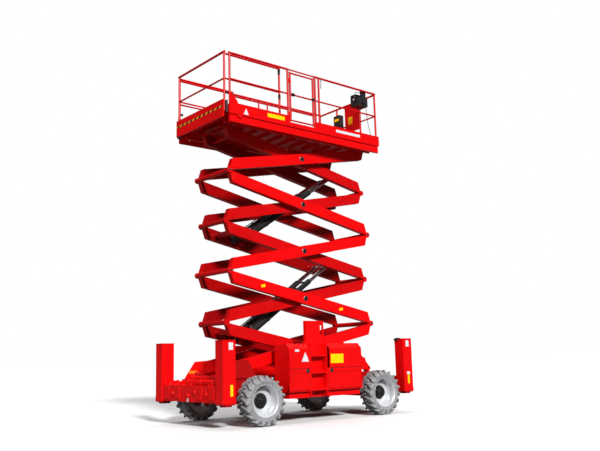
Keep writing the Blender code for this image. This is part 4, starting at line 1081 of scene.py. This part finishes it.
def make_controller_details():
    """Buttons, stick, guard bar, label and bright trim of the control box."""
    low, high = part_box("platform_controller")

    def knobs(bm):
        for x in (low.x + 0.05, low.x + 0.10, low.x + 0.15, low.x + 0.20):
            for y in (low.y + 0.16, low.y + 0.20):
                at = Vector((x, y, high.z - 0.070))
                add_cylinder(bm, at, at + Vector((0, 0, 0.010)), 0.009, 20)
    piece("control_buttons", "platform", "steel", knobs, bevel=0.001)

    def stick(bm):
        at = Vector((low.x + 0.24, low.y + 0.19, high.z - 0.072))
        add_cylinder(bm, at, at + Vector((0, 0, 0.014)), 0.022, 24, 0.018)
        add_cylinder(bm, at, at + Vector((0, 0, 0.060)), 0.007, 16)
        add_ball(bm, at + Vector((0, 0, 0.066)), 0.013)
    piece("control_stick", "platform", "plastic", stick, bevel=0.001)
    tube("control_guard", "platform", "steel",
         [(low.x - 0.012, low.y + 0.12, high.z - 0.12), (low.x - 0.010, low.y + 0.12, high.z - 0.04),
          (low.x + 0.05, low.y + 0.115, high.z - 0.022), (high.x - 0.05, low.y + 0.115, high.z - 0.022),
          (high.x + 0.010, low.y + 0.12, high.z - 0.04), (high.x + 0.012, low.y + 0.12, high.z - 0.12)],
         0.007)
    label("controller_label", "platform", WHITE, (low.x, low.y + 0.16, high.z - 0.17), TO_FRONT,
          0.05, 0.035)
    plates("controller_trim", "platform",
           [((low.x - 0.003, low.y + 0.105, high.z - 0.125), (high.x + 0.003, low.y + 0.118, high.z - 0.105)),
            ((low.x - 0.003, low.y + 0.105, low.z + 0.02), (high.x + 0.003, low.y + 0.112, low.z + 0.032))],
           "steel", 0.002)


def add_ball(bm, at, radius):
    made = bmesh.ops.create_uvsphere(bm, u_segments=16, v_segments=10, radius=radius)["verts"]
    bmesh.ops.translate(bm, vec=at, verts=made)


STRIPE_Z = 5.553
STRIPE_HALF = 0.017
TRAILING_POST_Y = 0.778


def make_extension_details():
    """Hazard strip, bumpers, black sleeves of the trailing posts and locking knobs."""
    low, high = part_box("extension_deck")
    plates("hazard_strip", "extension",
           [((low.x - 0.0015, low.y + 0.004, STRIPE_Z - STRIPE_HALF),
             (low.x + 0.001, high.y - 0.004, STRIPE_Z + STRIPE_HALF))], "plastic", 0.0, HAZARD)
    plates("extension_bumper", "extension",
           [((low.x + 0.006, 0.66, low.z - 0.035), (low.x + 0.045, 0.78, low.z + 0.002)),
            ((low.x + 0.045, -0.862, 5.43), (low.x + 0.072, -0.798, 5.66))], "plastic", 0.006)
    trailing_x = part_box("extension_rails")[1].x - 0.022

    def sleeves(bm):
        for y in (-TRAILING_POST_Y, TRAILING_POST_Y):
            for low_z, high_z in ((6.44, 6.545), (5.95, 6.03)):
                add_cylinder(bm, (trailing_x, y, low_z), (trailing_x, y, high_z), 0.0245, 24)
    piece("trailing_post_sleeves", "extension", "black", sleeves, bevel=0.002)

    def knobs(bm):
        for y in (-TRAILING_POST_Y, TRAILING_POST_Y):
            at = Vector((low.x + 0.074, y, 5.83))
            add_cylinder(bm, at, at + Vector((0.05, 0, 0)), 0.020, 20, 0.026)
    piece("locking_knobs", "extension", "plastic", knobs, bevel=0.002)


def make_gate_details():
    """Hinge barrels on the gate's own post, and its latch stub."""
    low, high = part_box("entry_gate")
    y = (low.y + high.y) / 2

    def hinges(bm):
        for z in (FLOOR_Z + 0.21, FLOOR_Z + 0.88):
            add_cylinder(bm, (low.x + 0.0205, y, z - 0.045), (low.x + 0.0205, y, z + 0.045), 0.0245, 24)
    piece("gate_hinge_barrels", "entry_gate", "red", hinges, bevel=0.002)

    plates("gate_latch_stub", "entry_gate",
           [((low.x + 0.05, y - 0.024, FLOOR_Z + 0.575), (low.x + 0.12, y + 0.020, FLOOR_Z + 0.628))],
           "black", 0.004)


# ---- stage, lights and camera
AMBIENT = 0.055
FLOOR_SEEN, FLOOR_BOUNCE = 0.95, 0.08
SUNS = (  # name, where the light comes from, strength, angle it spreads over in degrees
    ("key", (-0.30, -0.98, 0.62), 4.0, 10),
    ("side fill", (-1.0, -0.10, 0.25), 0.75, 25),
    ("top", (0.15, 0.2, 1.0), 1.5, 60),
)


def make_stage():
    """A pale floor that throws little light back up, so undersides stay dark."""
    bm = bmesh.new()
    bmesh.ops.create_grid(bm, x_segments=1, y_segments=1, size=150)
    m = Nodes("studio floor")
    seen = m.node("ShaderNodeLightPath").outputs["Is Camera Ray"]
    m.link(m.ramp(seen, [(0.0, grey(FLOOR_BOUNCE)), (1.0, grey(FLOOR_SEEN))]), m.shader.inputs["Base Color"])
    m.set(Roughness=0.9)
    floor = new_object(bm, "studio_floor", m.material)


def make_world():
    """White behind the machine, and a softer grey that lights it."""
    world = bpy.data.worlds.new("studio")
    world.use_nodes = True
    nodes, links = world.node_tree.nodes, world.node_tree.links
    ambient = nodes["Background"]
    ambient.inputs["Color"].default_value = (0.92, 0.95, 1.0, 1)
    ambient.inputs["Strength"].default_value = AMBIENT
    backdrop = nodes.new("ShaderNodeBackground")
    backdrop.inputs["Color"].default_value = (1, 1, 1, 1)
    rays = nodes.new("ShaderNodeLightPath")
    mix = nodes.new("ShaderNodeMixShader")
    links.new(rays.outputs["Is Camera Ray"], mix.inputs["Fac"])
    links.new(ambient.outputs["Background"], mix.inputs[1])
    links.new(backdrop.outputs["Background"], mix.inputs[2])
    links.new(mix.outputs["Shader"], nodes["World Output"].inputs["Surface"])
    bpy.context.scene.world = world


def make_lights():
    for name, source, strength, spread in SUNS:
        data = bpy.data.lights.new(name, "SUN")
        data.energy = strength
        data.angle = math.radians(spread)
        lamp = bpy.data.objects.new(name, data)
        lamp.rotation_mode = "QUATERNION"
        lamp.rotation_quaternion = Vector(source).to_track_quat("Z", "Y")
        bpy.context.scene.collection.objects.link(lamp)


def make_camera():
    yaw, pitch, roll = CAMERA_YAW, CAMERA_PITCH, CAMERA_ROLL
    ahead = Vector((math.sin(yaw) * math.cos(pitch), math.cos(yaw) * math.cos(pitch), math.sin(pitch)))
    level = Vector((math.cos(yaw), -math.sin(yaw), 0))
    above = level.cross(ahead)
    right = level * math.cos(roll) + above * math.sin(roll)
    up = above * math.cos(roll) - level * math.sin(roll)
    data = bpy.data.cameras.new("camera")
    data.lens = LENS_MM
    data.sensor_width = 36
    data.clip_end = 400
    camera = bpy.data.objects.new("camera", data)
    turn = Matrix((right, up, -ahead)).transposed().to_4x4()
    camera.matrix_world = Matrix.Translation(CAMERA_AT) @ turn
    bpy.context.scene.collection.objects.link(camera)
    bpy.context.scene.camera = camera


# ---- run
finish_cad_nodes()
make_wheels()
make_arm_details()
make_arm_labels()
make_cylinder_details()
make_box_details()
make_box_labels()
make_ladder_details()
make_outrigger_details()
make_chassis_details()
make_platform_details()
make_extension_details()
make_gate_details()

make_stage()
make_world()
make_lights()
make_camera()
bpy.context.scene.view_settings.view_transform = "Standard"
